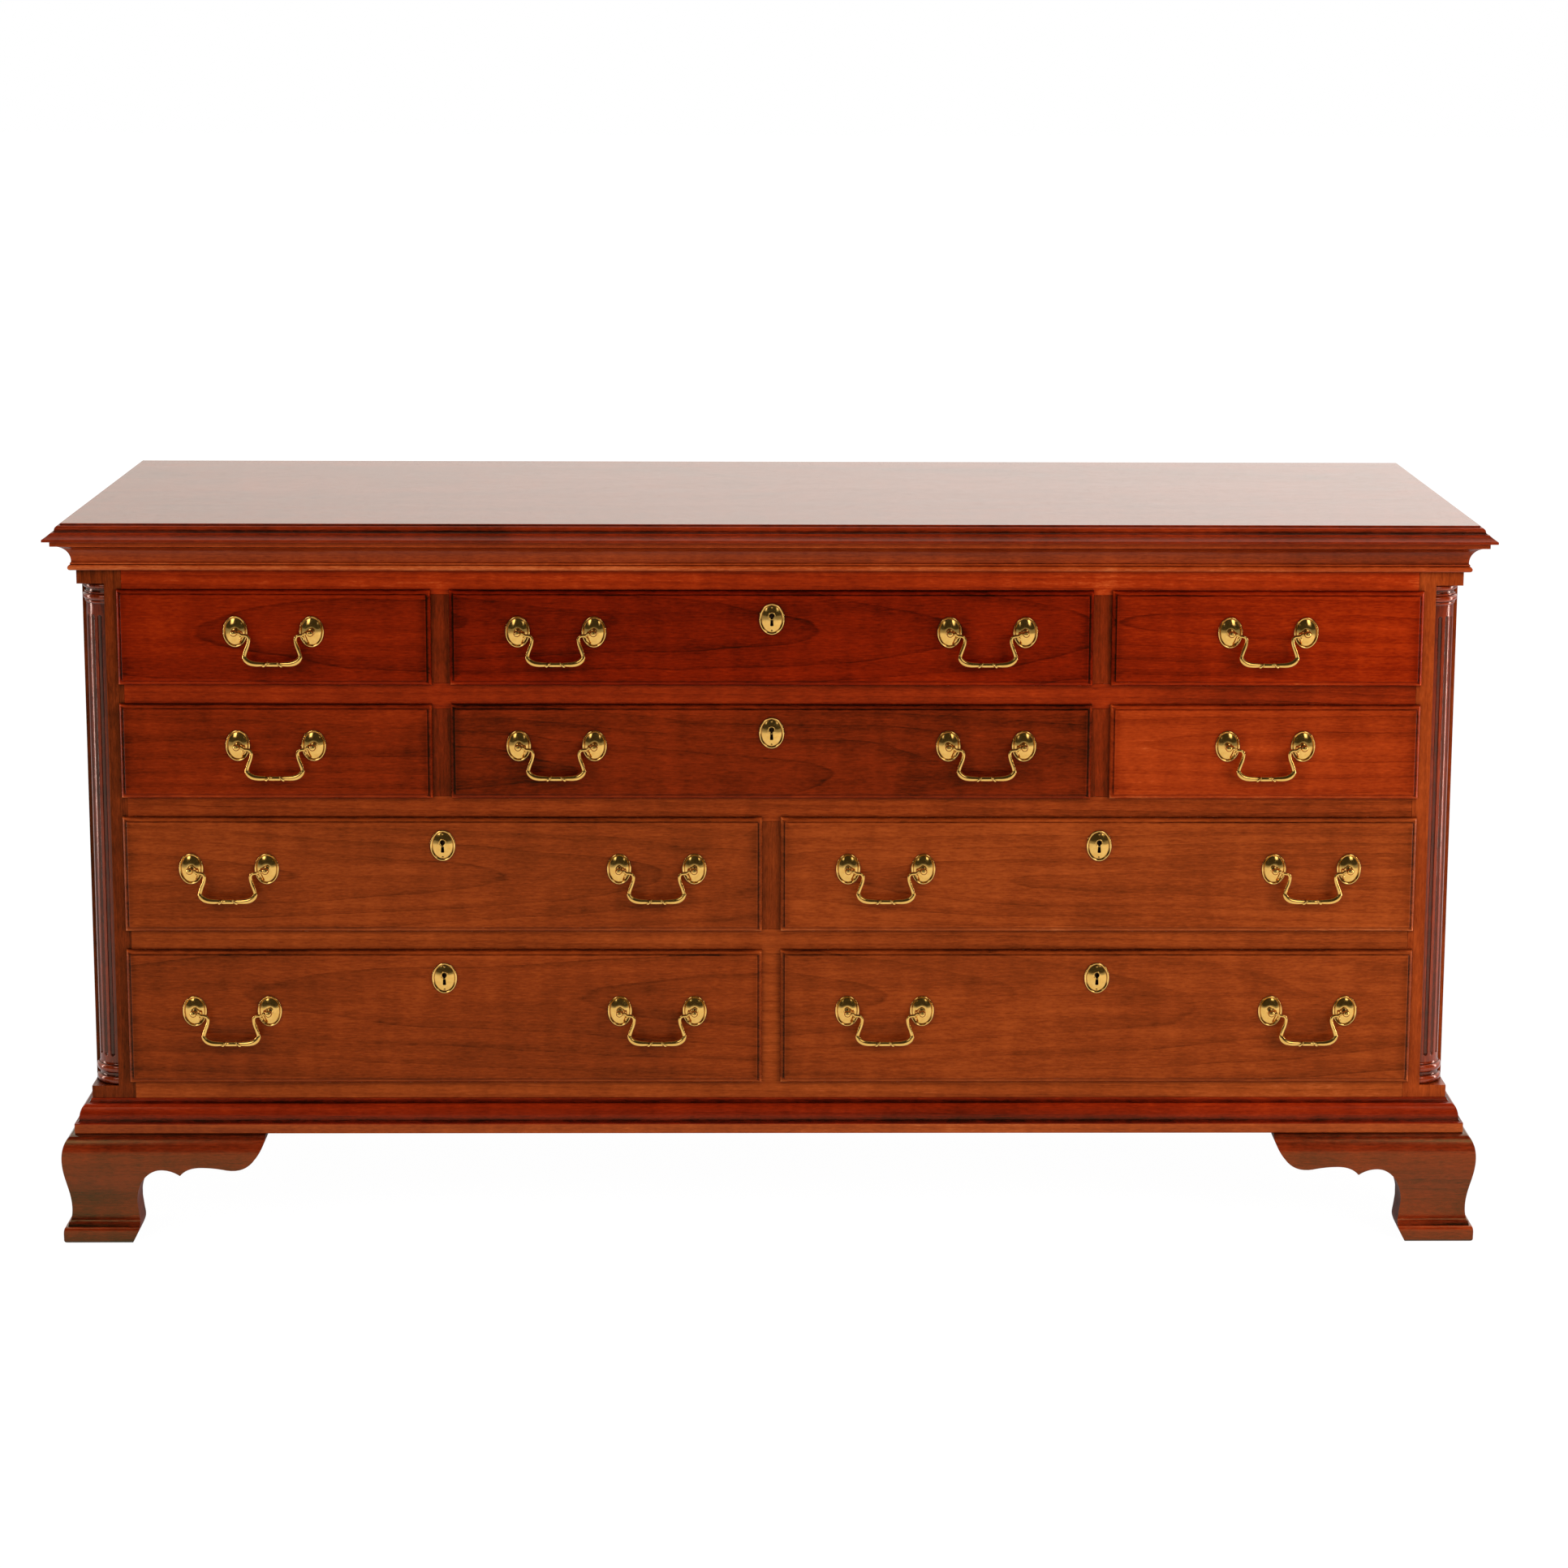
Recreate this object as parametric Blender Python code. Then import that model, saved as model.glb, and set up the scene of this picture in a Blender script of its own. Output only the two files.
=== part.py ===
# Ten-drawer dresser with a moulded top, a cove cornice, fluted quarter columns,
# lipped drawer fronts with swan-neck pulls, and ogee bracket feet.
# Metres, +Z up, front towards -Y, origin on the floor under the middle of the bounding box.

import math

import bmesh
import bpy

# Overall size. The height is the sum of the parts from the feet up.
WIDTH = 1.6775
DEPTH = 0.533
PROJECTION = 0.03235  # top edge and feet stand this far out of the case
TOP_BACK_OVERHANG = 0.004

# Heights from the floor up
FOOT_HEIGHT = 0.131
BASE_HEIGHT = 0.0385
BOTTOM_RAIL_SHOW = 0.020
ROW_HEIGHTS = (0.163, 0.1385, 0.113, 0.113)  # lip to lip, lowest row first
RAIL_SHOW = 0.0225
TOP_RAIL_SHOW = 0.0225
CORNICE_HEIGHT = 0.037

# Clearances
GAP = 0.0003  # between glued or resting pieces
DRAWER_SIDE_CLEAR = 0.0015
DRAWER_TOP_CLEAR = 0.004
DRAWER_REAR_CLEAR = 0.0375
FRONT_CLEAR = 0.001
PIVOT_CLEAR = 0.0005
BURY = 0.002  # shapes that are joined reach this far into each other
OUT = 0.01  # cutters reach this far past the wood

# Case boards
SIDE_THICK = 0.019
POST_FACE = 0.0198  # flat face of a corner post beside the quarter column
POST_REAR = 0.0134  # wood of a corner post behind the quarter column
PLINTH_SHOW = 0.0148
CAP_BLOCK_SHOW = 0.0166
RAIL_DEPTH = 0.022
SHELF_THICK = 0.012
DIVIDER_WIDTH = 0.0325
GUIDE_HEIGHT = 0.018
WIDE_ROWS = 2  # the lowest rows have two wide openings, the rest have three
SMALL_OPENING = 0.353  # width of the outer openings of the upper rows
BACK_THICK = 0.006
BACK_LIFT = 0.020

# Top edge: ovolo, cavetto and nose, as widths and heights
TOP_OVOLO = (0.0057, 0.0055)
TOP_CAVETTO = (0.0065, 0.0068)
TOP_NOSE = (0.0060, 0.0060)
TOP_TIP = 0.0013

# Cornice: fillet, cove and bead
CORNICE_FILLET = (0.0247, 0.0062)
COVE_INSET = 0.0006
COVE_DEEP = 0.0046
COVE_HEIGHT = 0.0198
BEAD_OUT = 0.0084
BEAD_RADIUS = 0.0034

# Base moulding: cavetto, ovolo, small cove and fascia
BASE_FILLET = 0.0012
BASE_CAVETTO = (0.0060, 0.0085)
BASE_OVOLO = (0.0054, 0.0120)
BASE_COVE = (0.0059, 0.0055)

# Ogee feet
FOOT_BACK = 0.010  # the brackets' inner face lies this far inside the case face
FOOT_REACH_FRONT = 0.240
FOOT_REACH_SIDE = 0.200
FOOT_REACH_REAR = 0.130
FOOT_LEG = 0.088
FOOT_PAD_TAPER = 0.004
FOOT_SHOULDER = (0.0126, 0.027)  # from the foot's top out and down to its widest point
FOOT_ANKLE = 0.0091  # the ankle lies this far inside the widest point
FOOT_ANKLE_Z = 0.040
FOOT_THROAT = (0.0034, 0.005)
FOOT_PAD_Z = 0.0195
FOOT_PAD_ROUND = (0.0022, 0.0078)
FOOT_TOE = (0.004, 0.0049)
FOOT_BLOCK = 0.030
FOOT_BLOCK_LIFT = 0.006
FOOT_REAR_BOARD = 0.019
REAR_BOARD_SPRING = 0.079  # the plain rear board's slope starts at this height
REAR_BOARD_TIP = 0.012

# Scroll under a bracket, as shares of its reach past the leg and of its height
SCROLL_SPRING = 0.47
SCROLL_CROWN = (0.19, 0.69)
SCROLL_BENDS = (  # control and end of each bend
    ((0.27, 0.690), (0.335, 0.632)),
    ((0.39, 0.713), (0.500, 0.713)),
    ((0.60, 0.713), (0.700, 0.687)),
    ((0.84, 0.660), (0.920, 0.790)),
    ((0.97, 0.860), (1.000, 0.960)),
)

# Quarter columns
SHAFT_RADIUS = 0.0268
RING_RADIUS = 0.0304
RING_INSET = 0.0012  # the rings end this far inside the case's faces
NECK_RADIUS = 0.0272
TORUS_HEIGHT = 0.0096
ASTRAGAL_HEIGHT = 0.0075
FILLET_HEIGHT = 0.0042
FLUTES = 4
FLUTE_PITCH = math.radians(20)
FLUTE_RADIUS = 0.0029
FLUTE_DEPTH = 0.0021
FLUTE_TOP_MARGIN = 0.045
FLUTE_BOTTOM_MARGIN = 0.034
FLUTE_END = 0.3  # radius left at a flute's rounded ends
FLUTE_STEPS = 6
COLUMN_STEPS = 7

# Drawer fronts
FACE_PROUD = 0.008
LIP_SIDE = 0.0055
LIP_TOP = 0.006
LIP_BOTTOM = 0.0015
LIP_EDGE = 0.0026
THUMB_WIDTH = 0.0050
THUMB_STEP = 0.0008
PLUG_DEPTH = 0.013  # part of the front that enters the opening

# Drawer boxes
BOX_SIDE = 0.012
BOX_BACK = 0.012
BOX_BOTTOM = 0.006
BOX_BOTTOM_LIFT = 0.008
TAIL_LENGTH = 0.009
TAIL_PITCH = 0.034
TAIL_SHARE = 0.5  # of each pitch is tail, the rest is pin
TAIL_FLARE = 0.0018

# Pulls: oval rosettes, ball posts and swan-neck bails
PULL_SPACING = 0.0885
PULL_MARGIN = 0.1184  # from a wide opening's side to the middle of the pull
PULL_RISE = 0.008
ROSETTE = (0.0145, 0.01875)
ROSETTE_RIM = 0.0019
ROSETTE_EDGE = 0.0013
ROSETTE_FLOOR = 0.0008
ROSETTE_CROWN = 0.0031
ROSETTE_DOME = 0.0031
ROSETTE_SINK = 0.0010
POST_NECK = 0.0024
BALL_RADIUS = 0.0041
BALL_THROAT = 0.85  # heights and tip of the ball as shares of its radius
BALL_BAND = 0.3
BALL_TIP = 0.4
PIVOT_OUT = 0.0125
PIN_RADIUS = 0.00125
PIN_LENGTH = 0.0030
BAIL_DROP = 0.0366
BAIL_LEG_INSET = 0.0122  # from the post's middle to the bail's leg
BAIL_NECK_INSET = 0.0158
BAIL_NECK_DROP = 0.0076
BAIL_CORNER = (0.0093, 0.0110)
BAIL_HOOK = 0.0058
COLLAR_AT = 0.0066
COLLAR_WIDTH = 0.0012
GRIP_RADIUS = 0.0031
COLLAR_RADIUS = 0.0039
CORNER_RADIUS = 0.0039
LEG_RADIUS = 0.0026
NECK_WIRE_RADIUS = 0.0019
OVAL_STEPS = 10
POST_STEPS = 6
WIRE_SIDES = 5
SOCKET_SIDES = 6

# Key escutcheons
ESCUTCHEON = (0.0150, 0.01885)
ESCUTCHEON_DROP = 0.033
KEY_RADIUS = 0.0027
KEY_RISE = 0.0038
KEY_SLOT = (0.0012, 0.0019)
KEY_SLOT_END = 0.0082
KEY_DEPTH = 0.008
KEY_STEPS = 7

# Derived places
CASE_HALF = WIDTH / 2 - PROJECTION
CASE_FRONT = -DEPTH / 2 + PROJECTION
CASE_BACK = DEPTH / 2 - TOP_BACK_OVERHANG
NOTCH = RING_RADIUS + RING_INSET  # square corner cut for the quarter column
POST_WIDTH = NOTCH + POST_FACE
POST_DEPTH = NOTCH + POST_REAR
POST_IN = CASE_HALF - POST_WIDTH
SIDE_IN = CASE_HALF - SIDE_THICK
BASE_TOP = FOOT_HEIGHT + BASE_HEIGHT
FIRST_LIP = BASE_TOP + BOTTOM_RAIL_SHOW
FRIEZE_TOP = FIRST_LIP + sum(ROW_HEIGHTS) + RAIL_SHOW * (len(ROW_HEIGHTS) - 1) + TOP_RAIL_SHOW
CORNICE_TOP = FRIEZE_TOP + CORNICE_HEIGHT
TOP_THICK = TOP_OVOLO[1] + TOP_CAVETTO[1] + TOP_NOSE[1] + TOP_TIP
TOP_SURFACE = CORNICE_TOP + TOP_THICK
CARCASS_BOTTOM = FOOT_HEIGHT + GAP
CARCASS_TOP = CORNICE_TOP - GAP
SHELF_BACK = CASE_BACK - BACK_THICK - GAP
BOX_END = CASE_BACK - BACK_THICK - DRAWER_REAR_CLEAR - CASE_FRONT  # from the case's front face


def material(name, colour, roughness, metallic=0.0):
    mat = bpy.data.materials.new(name)
    mat.use_nodes = True
    shader = mat.node_tree.nodes["Principled BSDF"]
    shader.inputs["Base Color"].default_value = (*colour, 1.0)
    shader.inputs["Roughness"].default_value = roughness
    shader.inputs["Metallic"].default_value = metallic
    mat.diffuse_color = (*colour, 1.0)
    return mat


def finish(name, bm, mat, parent=None, location=(0, 0, 0), smooth=False):
    """Turns a bmesh into a named object with outward faces and its own material."""
    bmesh.ops.recalc_face_normals(bm, faces=bm.faces)
    mesh = bpy.data.meshes.new(name)
    bm.to_mesh(mesh)
    bm.free()
    if smooth:
        mesh.shade_smooth()
        mesh.set_sharp_from_angle(angle=math.radians(35))
    mesh.materials.append(mat)
    ob = bpy.data.objects.new(name, mesh)
    bpy.context.collection.objects.link(ob)
    ob.parent = parent
    ob.location = location
    return ob


def boolean(target, bm, operation, mat=None):
    """Joins a tool shape to the target or cuts it away; the tool is in the target's own frame."""
    name = f"{target.name}_{operation.lower()}"
    tool = finish(name, bm, mat or target.data.materials[0], parent=target)
    tool.hide_render = True
    tool.display_type = "WIRE"
    mod = target.modifiers.new(name, "BOOLEAN")
    mod.operation = operation
    mod.object = tool
    mod.solver = "EXACT"
    mod.material_mode = "TRANSFER"
    return target


def loft(bm, rings):
    """Skins closed rings of equal length one after the other and caps both ends."""
    rows = [[bm.verts.new(p) for p in ring] for ring in rings]
    count = len(rows[0])
    for low, high in zip(rows, rows[1:]):
        for i in range(count):
            j = (i + 1) % count
            bm.faces.new((low[i], low[j], high[j], high[i]))
    bm.faces.new(rows[0])
    bm.faces.new(list(reversed(rows[-1])))
    return bm


def prism(bm, points, axis, low, high):
    """Extrudes a flat outline along X (points are y, z), Y (x, z) or Z (x, y)."""
    def place(p, t):
        return {"X": (t, p[0], p[1]), "Y": (p[0], t, p[1]), "Z": (p[0], p[1], t)}[axis]

    return loft(bm, [[place(p, low) for p in points], [place(p, high) for p in points]])


def box(bm, x, y, z):
    outline = [(x[0], y[0]), (x[1], y[0]), (x[1], y[1]), (x[0], y[1])]
    return prism(bm, outline, "Z", z[0], z[1])


def quarter(start, end, first, steps):
    """Quarter ellipse from start to end that leaves along the first ('u') or second ('z') axis."""
    du, dz = end[0] - start[0], end[1] - start[1]
    points = []
    for i in range(1, steps + 1):
        t = math.radians(90) * i / steps
        rise, turn = math.sin(t), 1 - math.cos(t)
        a, b = (rise, turn) if first == "u" else (turn, rise)
        points.append((start[0] + du * a, start[1] + dz * b))
    return points


def wave(start, end, steps):
    """Half a cosine from start to end, upright at both ends."""
    points = []
    for i in range(1, steps + 1):
        share = (1 - math.cos(math.pi * i / steps)) / 2
        points.append((start[0] + (end[0] - start[0]) * share, start[1] + (end[1] - start[1]) * i / steps))
    return points


def bend(start, control, end, steps):
    """Quadratic curve from start to end drawn towards the control point."""
    points = []
    for i in range(1, steps + 1):
        t = i / steps
        points.append(tuple(
            (1 - t) ** 2 * s + 2 * t * (1 - t) * c + t * t * e for s, c, e in zip(start, control, end)))
    return points


def oval(rx, rz, y, steps):
    """Ring in the XZ plane at depth y."""
    turn = 2 * math.pi / steps
    return [(rx * math.cos(i * turn), y, rz * math.sin(i * turn)) for i in range(steps)]


# Moulding profiles: (u, z), u outwards from the case face, from the top down


def top_profile():
    out = PROJECTION - TOP_OVOLO[0] - TOP_CAVETTO[0] - TOP_NOSE[0]
    points = [(out, TOP_SURFACE)]
    shapes = ((TOP_OVOLO, "u", 3), (TOP_CAVETTO, "z", 3), (TOP_NOSE, "u", 3))
    for (width, height), first, steps in shapes:
        u, z = points[-1]
        points += quarter((u, z), (u + width, z - height), first, steps)
    points.append((PROJECTION, CORNICE_TOP))
    return points


def cornice_profile():
    fillet_out, fillet_high = CORNICE_FILLET
    top = CORNICE_TOP - GAP
    cove_top = CORNICE_TOP - fillet_high
    cove_low = cove_top - COVE_HEIGHT
    bead_mid = FRIEZE_TOP + BEAD_RADIUS
    bead_in = BEAD_OUT - BEAD_RADIUS
    points = [(GAP, top), (fillet_out, top), (fillet_out, cove_top)]
    points += quarter((fillet_out - COVE_INSET, cove_top), (COVE_DEEP, cove_low), "u", 6)
    points.append((COVE_DEEP, bead_mid + BEAD_RADIUS))
    points += quarter((bead_in, bead_mid + BEAD_RADIUS), (BEAD_OUT, bead_mid), "u", 3)
    points += quarter((BEAD_OUT, bead_mid), (bead_in, FRIEZE_TOP), "z", 3)
    points.append((GAP, FRIEZE_TOP))
    return points


def base_profile():
    low = FOOT_HEIGHT + GAP
    points = [(GAP, BASE_TOP), (BASE_FILLET, BASE_TOP)]
    shapes = ((BASE_CAVETTO, "z", 3), (BASE_OVOLO, "u", 4), (BASE_COVE, "z", 3))
    for (width, height), first, steps in shapes:
        u, z = points[-1]
        points += quarter((u, z), (u + width, z - height), first, steps)
    points += [(points[-1][0], low), (GAP, low)]
    return points


def foot_profile():
    """Ogee bracket section: shoulder, swelling, hollow ankle and rounded pad."""
    wide = PROJECTION
    ankle = wide - FOOT_ANKLE
    shoulder_in, shoulder_high = FOOT_SHOULDER
    swell = (wide, FOOT_HEIGHT - shoulder_high)
    points = [(wide - shoulder_in, FOOT_HEIGHT)]
    points += quarter(points[0], swell, "u", 4)
    points += wave(swell, (ankle, FOOT_ANKLE_Z), 6)
    throat = (ankle + FOOT_THROAT[0], FOOT_PAD_Z + FOOT_THROAT[1])
    points += quarter(points[-1], throat, "z", 2)
    points.append((wide - FOOT_PAD_ROUND[0], FOOT_PAD_Z))
    points += quarter(points[-1], (wide, FOOT_PAD_Z - FOOT_PAD_ROUND[1]), "u", 2)
    points += quarter((wide, FOOT_TOE[1]), (wide - FOOT_TOE[0], 0.0), "z", 2)
    points += [(-FOOT_BACK, 0.0), (-FOOT_BACK, FOOT_HEIGHT)]
    return points


def around_case(profile):
    """Mitred sweep of a profile round the left side, the front and the right side."""
    def station(x_sign, back):
        if back:
            return [(x_sign * (CASE_HALF + u), CASE_BACK, z) for u, z in profile]
        return [(x_sign * (CASE_HALF + u), CASE_FRONT - u, z) for u, z in profile]

    return loft(bmesh.new(), [station(-1, True), station(-1, False), station(1, False), station(1, True)])


# Case


def top_board(mat):
    rings = []
    for u, z in top_profile():
        half, front, back = CASE_HALF + u, CASE_FRONT - u, DEPTH / 2
        rings.append([(-half, front, z), (half, front, z), (half, back, z), (-half, back, z)])
    return finish("top_board", loft(bmesh.new(), rings), mat)


def corner_post(side, mat):
    name = "left" if side < 0 else "right"
    bm = bmesh.new()
    xs = sorted((side * POST_IN, side * CASE_HALF))
    box(bm, xs, (CASE_FRONT, CASE_FRONT + POST_DEPTH), (CARCASS_BOTTOM, CARCASS_TOP))
    post = finish(f"corner_post_{name}", bm, mat)
    cut = bmesh.new()
    xs = sorted((side * (CASE_HALF - NOTCH), side * (CASE_HALF + NOTCH)))
    box(cut, xs, (CASE_FRONT - NOTCH, CASE_FRONT + NOTCH), (column_foot(), column_head()))
    return boolean(post, cut, "DIFFERENCE")


def column_foot():
    return BASE_TOP + PLINTH_SHOW


def column_head():
    return FRIEZE_TOP - CAP_BLOCK_SHOW


def torus(points, radius, height):
    """Adds a half-round ring upwards from the last point of a turned profile."""
    r, z = points[-1]
    mid = z + height / 2
    points += quarter((r, z), (radius, mid), "u", 2)
    points += quarter((radius, mid), (r, z + height), "z", 2)


def column_profile():
    """Turned outline (radius, z) from the base up."""
    low, high = column_foot() + GAP, column_head() - GAP
    points = [(NECK_RADIUS, low)]
    torus(points, RING_RADIUS, TORUS_HEIGHT)
    points.append((NECK_RADIUS, points[-1][1] + FILLET_HEIGHT))
    torus(points, RING_RADIUS, TORUS_HEIGHT)
    points.append((SHAFT_RADIUS, points[-1][1] + FILLET_HEIGHT))
    start = high - 2 * FILLET_HEIGHT - TORUS_HEIGHT - 2 * ASTRAGAL_HEIGHT
    points.append((SHAFT_RADIUS, start - FILLET_HEIGHT / 2))
    points.append((NECK_RADIUS, start))
    torus(points, RING_RADIUS, ASTRAGAL_HEIGHT)
    torus(points, (NECK_RADIUS + RING_RADIUS) / 2, FILLET_HEIGHT)
    points.append((NECK_RADIUS, high - TORUS_HEIGHT - FILLET_HEIGHT / 2))
    torus(points, RING_RADIUS, TORUS_HEIGHT)
    points.append((NECK_RADIUS, high))
    return points


def quarter_column(side, mat):
    """Quarter-round turned column in the notch, its axis on the notch's inner corner."""
    name = "left" if side < 0 else "right"
    rings = []
    for r, z in column_profile():
        arc = [(0.0, 0.0)]
        for i in range(COLUMN_STEPS + 1):
            a = math.radians(90) * i / COLUMN_STEPS
            arc.append((side * r * math.cos(a), -r * math.sin(a)))
        rings.append([(x, y, z) for x, y in arc])
    corner = (side * (CASE_HALF - NOTCH + GAP), CASE_FRONT + NOTCH - GAP, 0.0)
    column = finish(f"quarter_column_{name}", loft(bmesh.new(), rings), mat, location=corner, smooth=True)
    return boolean(column, flute_cutters(side), "DIFFERENCE")


def flute_cutters(side):
    """Round-ended cutters for the flutes, spread evenly over the quarter shaft."""
    low = column_foot() + FLUTE_BOTTOM_MARGIN
    high = column_head() - FLUTE_TOP_MARGIN
    centre = SHAFT_RADIUS + FLUTE_RADIUS - FLUTE_DEPTH
    first = (math.radians(90) - FLUTE_PITCH * (FLUTES - 1)) / 2
    bm = bmesh.new()
    for k in range(FLUTES):
        a = first + k * FLUTE_PITCH
        x, y = side * centre * math.cos(a), -centre * math.sin(a)
        rings = []
        tip, full = FLUTE_RADIUS * FLUTE_END, FLUTE_RADIUS
        for r, z in ((tip, low), (full, low + full), (full, high - full), (tip, high)):
            rings.append([(x + px, y + py, z) for px, _, py in oval(r, r, 0, FLUTE_STEPS)])
        loft(bm, rings)
    return bm


def side_panel(side, mat):
    name = "left" if side < 0 else "right"
    bm = bmesh.new()
    xs = sorted((side * SIDE_IN, side * CASE_HALF))
    box(bm, xs, (CASE_FRONT + POST_DEPTH + GAP, CASE_BACK), (CARCASS_BOTTOM, CARCASS_TOP))
    return finish(f"side_panel_{name}", bm, mat)


def opening_rows():
    """(bottom, top) of each drawer opening, lowest first."""
    rows, z = [], FIRST_LIP
    for height in ROW_HEIGHTS:
        rows.append((z + LIP_BOTTOM, z + height - LIP_TOP))
        z += height + RAIL_SHOW
    return rows


def opening_columns(row):
    """(left, right) of the openings of a row: two wide ones low down, three in the upper rows."""
    if row < WIDE_ROWS:
        half = DIVIDER_WIDTH / 2
        return [(-POST_IN, -half), (half, POST_IN)]
    inner = POST_IN - SMALL_OPENING
    middle = inner - DIVIDER_WIDTH
    return [(-POST_IN, -inner), (-middle, middle), (inner, POST_IN)]


def shelf(name, low, row, mat):
    """Rail and dust panel in one, with the drawer guides on it; its top carries the drawers."""
    top = opening_rows()[row][0]
    section = [
        (CASE_FRONT, low),
        (CASE_FRONT + RAIL_DEPTH, low),
        (CASE_FRONT + RAIL_DEPTH, top - SHELF_THICK),
        (SHELF_BACK, top - SHELF_THICK),
        (SHELF_BACK, top),
        (CASE_FRONT, top),
    ]
    half = SIDE_IN - GAP
    board = finish(name, prism(bmesh.new(), section, "X", -half, half), mat)
    cut = bmesh.new()
    for side in (-1, 1):
        xs = sorted((side * (POST_IN - GAP), side * CASE_HALF))
        box(cut, xs, (CASE_FRONT - GAP, CASE_FRONT + POST_DEPTH + GAP), (low - GAP, top + GAP))
    boolean(board, cut, "DIFFERENCE")
    return boolean(board, guides(row, top), "UNION")


def guides(row, top):
    """Strips that keep the drawer boxes straight, one beside each opening."""
    bm = bmesh.new()
    back = SHELF_BACK - GAP
    z = (top - SHELF_THICK / 2, top + GUIDE_HEIGHT)
    for side in (-1, 1):
        xs = sorted((side * POST_IN, side * (SIDE_IN - 2 * GAP)))
        box(bm, xs, (CASE_FRONT + POST_DEPTH + 2 * GAP, back), z)
    columns = opening_columns(row)
    for (_, left), (right, _) in zip(columns, columns[1:]):
        box(bm, (left, right), (CASE_FRONT + RAIL_DEPTH + GAP, back), z)
    return bm


def top_rail(mat):
    bm = bmesh.new()
    half = POST_IN - GAP
    box(bm, (-half, half), (CASE_FRONT, CASE_FRONT + RAIL_DEPTH), (opening_rows()[-1][1], CARCASS_TOP))
    return finish("top_rail", bm, mat)


def dividers(row, mat):
    """Upright stiles between the openings of a row, set between the rails."""
    low, high = opening_rows()[row]
    columns = opening_columns(row)
    names = ["centre"] if len(columns) == 2 else ["left", "right"]
    for name, (_, left), (right, _) in zip(names, columns, columns[1:]):
        bm = bmesh.new()
        box(bm, (left, right), (CASE_FRONT, CASE_FRONT + RAIL_DEPTH), (low + GAP, high - GAP))
        finish(f"divider_row{4 - row}_{name}", bm, mat)


def bottom_board(mat):
    """Bottom rail, dust panel and guides, with the lowest centre stile glued on."""
    board = shelf("bottom_board", CARCASS_BOTTOM, 0, mat)
    low, high = opening_rows()[0]
    left, right = opening_columns(0)[0][1], opening_columns(0)[1][0]
    bm = bmesh.new()
    box(bm, (left, right), (CASE_FRONT, CASE_FRONT + RAIL_DEPTH), (low - SHELF_THICK / 2, high - GAP))
    return boolean(board, bm, "UNION")


def back_panel(mat):
    bm = bmesh.new()
    half = SIDE_IN - GAP
    box(bm, (-half, half), (CASE_BACK - BACK_THICK, CASE_BACK), (CARCASS_BOTTOM + BACK_LIFT, CARCASS_TOP))
    return finish("back_panel", bm, mat)


# Feet


def bracket_void(reach):
    """Region under a bracket: (distance from the foot's outer face, z), leg to tip."""
    def at(across, up):
        return (FOOT_LEG + across * (reach - FOOT_LEG), up * FOOT_HEIGHT)

    leg = FOOT_LEG - FOOT_PAD_TAPER
    points = [(leg, -OUT), (leg, 0.0), (FOOT_LEG, FOOT_PAD_Z), (FOOT_LEG, FOOT_ANKLE_Z)]
    points.append((leg, SCROLL_SPRING * FOOT_HEIGHT))
    points += quarter(points[-1], at(*SCROLL_CROWN), "z", 4)
    for control, end in SCROLL_BENDS:
        points += bend(points[-1], at(*control), at(*end), 3)
    points += [(reach + OUT, points[-1][1]), (reach + OUT, -OUT)]
    return points


def glue_block(side, y):
    """Glue block that fills the inner corner of a foot's leg."""
    leg_in = WIDTH / 2 - FOOT_LEG + FOOT_PAD_TAPER
    xs = sorted((side * leg_in, side * (CASE_HALF - FOOT_BACK + BURY)))
    return box(bmesh.new(), xs, y, (FOOT_BLOCK_LIFT, FOOT_HEIGHT))


def side_scroll(side, start, direction):
    """Cutter for the scroll under a side bracket that starts at the leg's outer face."""
    outline = [(start + direction * a, z) for a, z in bracket_void(FOOT_REACH_SIDE)]
    xs = sorted((side * (WIDTH / 2 + OUT), side * (CASE_HALF - FOOT_BACK - OUT)))
    return prism(bmesh.new(), outline, "X", *xs)


def front_foot(side, mat):
    """Two ogee brackets mitred at the corner, scrolled below, with a glue block behind."""
    name = "left" if side < 0 else "right"
    profile = foot_profile()
    edge, front = WIDTH / 2, -DEPTH / 2
    side_end = front + FOOT_REACH_SIDE
    front_end = edge - FOOT_REACH_FRONT
    rings = [
        [(side * (CASE_HALF + u), side_end, z) for u, z in profile],
        [(side * (CASE_HALF + u), CASE_FRONT - u, z) for u, z in profile],
        [(side * front_end, CASE_FRONT - u, z) for u, z in profile],
    ]
    foot = finish(f"foot_front_{name}", loft(bmesh.new(), rings), mat, smooth=True)
    inner = CASE_FRONT + FOOT_BACK
    boolean(foot, glue_block(side, (inner - BURY, inner + FOOT_BLOCK)), "UNION")
    outline = [(side * (edge - a), z) for a, z in bracket_void(FOOT_REACH_FRONT)]
    scroll = prism(bmesh.new(), outline, "Y", front - OUT, inner + FOOT_BLOCK + OUT)
    boolean(foot, scroll, "DIFFERENCE")
    return boolean(foot, side_scroll(side, front, 1), "DIFFERENCE")


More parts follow.
